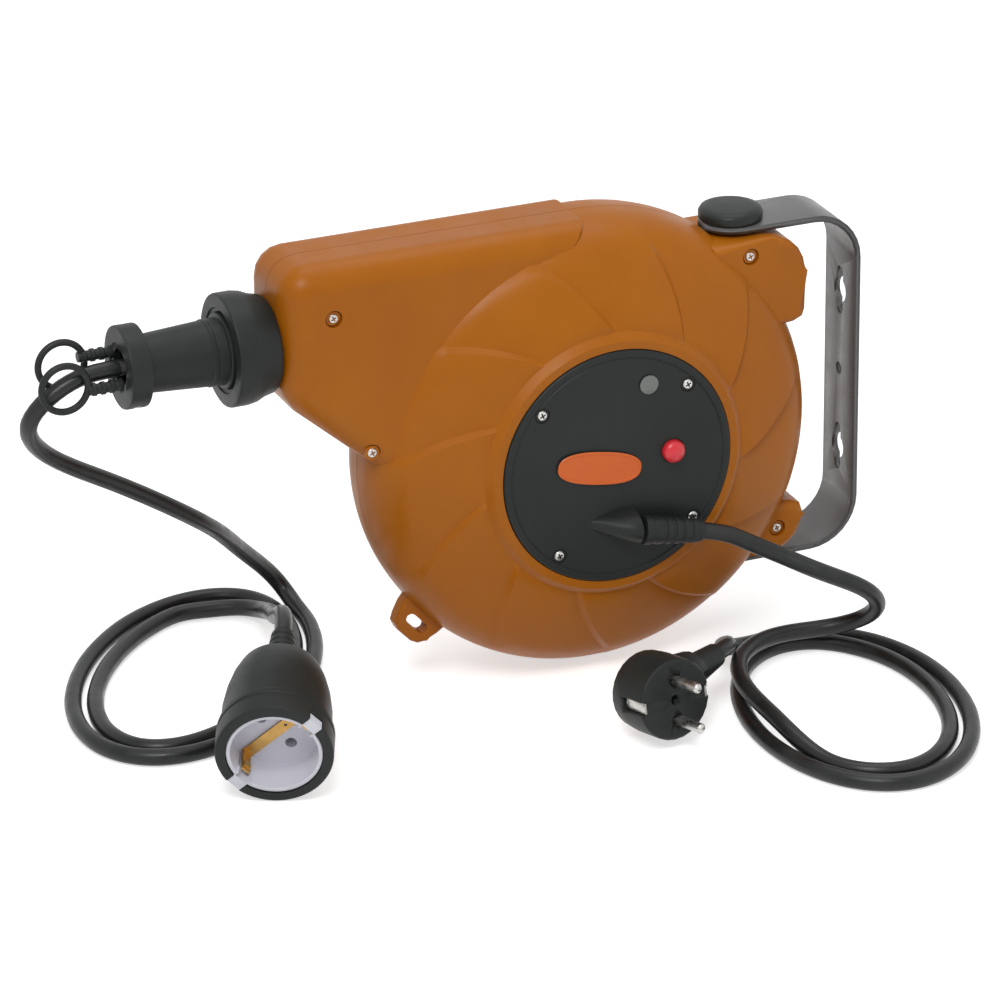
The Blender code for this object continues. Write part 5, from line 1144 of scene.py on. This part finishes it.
def make_floor():
    """Plain pale ground under the object."""
    mesh = bmesh.new()
    bmesh.ops.create_grid(mesh, x_segments=1, y_segments=1, size=GROUND_HALF)
    bmesh.ops.translate(mesh, vec=(0, 0, FLOOR), verts=mesh.verts)
    data = bpy.data.meshes.new("floor")
    mesh.to_mesh(data)
    mesh.free()
    floor = bpy.data.objects.new("floor", data)
    bpy.context.collection.objects.link(floor)
    shader = Shader("pale_ground", (0.92, 0.92, 0.92), 0.9)
    shader.tint(shader.noise(3.0), (0.91, 0.91, 0.91), (0.93, 0.93, 0.93))
    shader.put("Specular IOR Level", 0.0)
    show_paper(shader, PAPER_GLOW)
    data.materials.append(shader.material)


def soft_light(name, place, size, power):
    """Round lamp that looks at the object."""
    data = bpy.data.lights.new(name, "AREA")
    data.shape = "DISK"
    data.size = size
    data.energy = power
    lamp = bpy.data.objects.new(name, data)
    bpy.context.collection.objects.link(lamp)
    lamp.location = place
    lamp.rotation_euler = (Vector(LIGHT_AIM) - Vector(place)).to_track_quat("-Z", "Y").to_euler()


def make_lights():
    """Three soft lamps, and an even surround that is white where it is seen directly."""
    for name, (place, size, power) in STUDIO.items():
        soft_light(name, place, size, power)
    world = bpy.data.worlds.new("studio")
    bpy.context.scene.world = world
    world.use_nodes = True
    tree = world.node_tree
    back = tree.nodes["Background"]
    back.inputs["Color"].default_value = (1, 1, 1, 1)
    level = tree.nodes.new("ShaderNodeMapRange")
    level.inputs["To Min"].default_value = WORLD_LIGHT
    level.inputs["To Max"].default_value = 1.0
    tree.links.new(seen_directly(tree), level.inputs["Value"])
    tree.links.new(level.outputs["Result"], back.inputs["Strength"])


def make_camera():
    """Camera at the photo's angle; the lens is shifted so that the target falls on its own pixel."""
    back = Vector((math.sin(VIEW_AZIMUTH) * math.cos(VIEW_ELEVATION),
                   -math.cos(VIEW_AZIMUTH) * math.cos(VIEW_ELEVATION), math.sin(VIEW_ELEVATION)))
    data = bpy.data.cameras.new("camera")
    data.lens = LENS
    data.shift_x = (PICTURE / 2 - TARGET_PIXEL[0]) / PICTURE
    data.shift_y = (TARGET_PIXEL[1] - PICTURE / 2) / PICTURE
    data.clip_start = 0.1
    camera = bpy.data.objects.new("camera", data)
    bpy.context.collection.objects.link(camera)
    camera.location = VIEW_TARGET + back * VIEW_DISTANCE
    camera.rotation_euler = (-back).to_track_quat("-Z", "Y").to_euler()
    bpy.context.scene.camera = camera


def write_size():
    """Brings the view layer up to date."""
    bpy.context.view_layer.update()


materials = make_materials()
dress_nodes(materials)
black, ochre = materials["black_plastic"], materials["ochre_plastic"]
socket = make_socket(black, materials["white_insert"], materials["brass"])
make_cords(materials["black_cable"])
for half_node, in_front in (("front_shell", True), ("rear_shell", False)):
    make_half(half_node, in_front, ochre)
make_cover(black)
make_badge(materials["badge_orange"], black)
make_screws(materials["bright_steel"], materials["screw_shadow"], ochre)
make_nose(black)
make_relief(black)
make_floor()
make_lights()
make_camera()
bpy.context.scene.view_settings.view_transform = "Standard"
write_size()
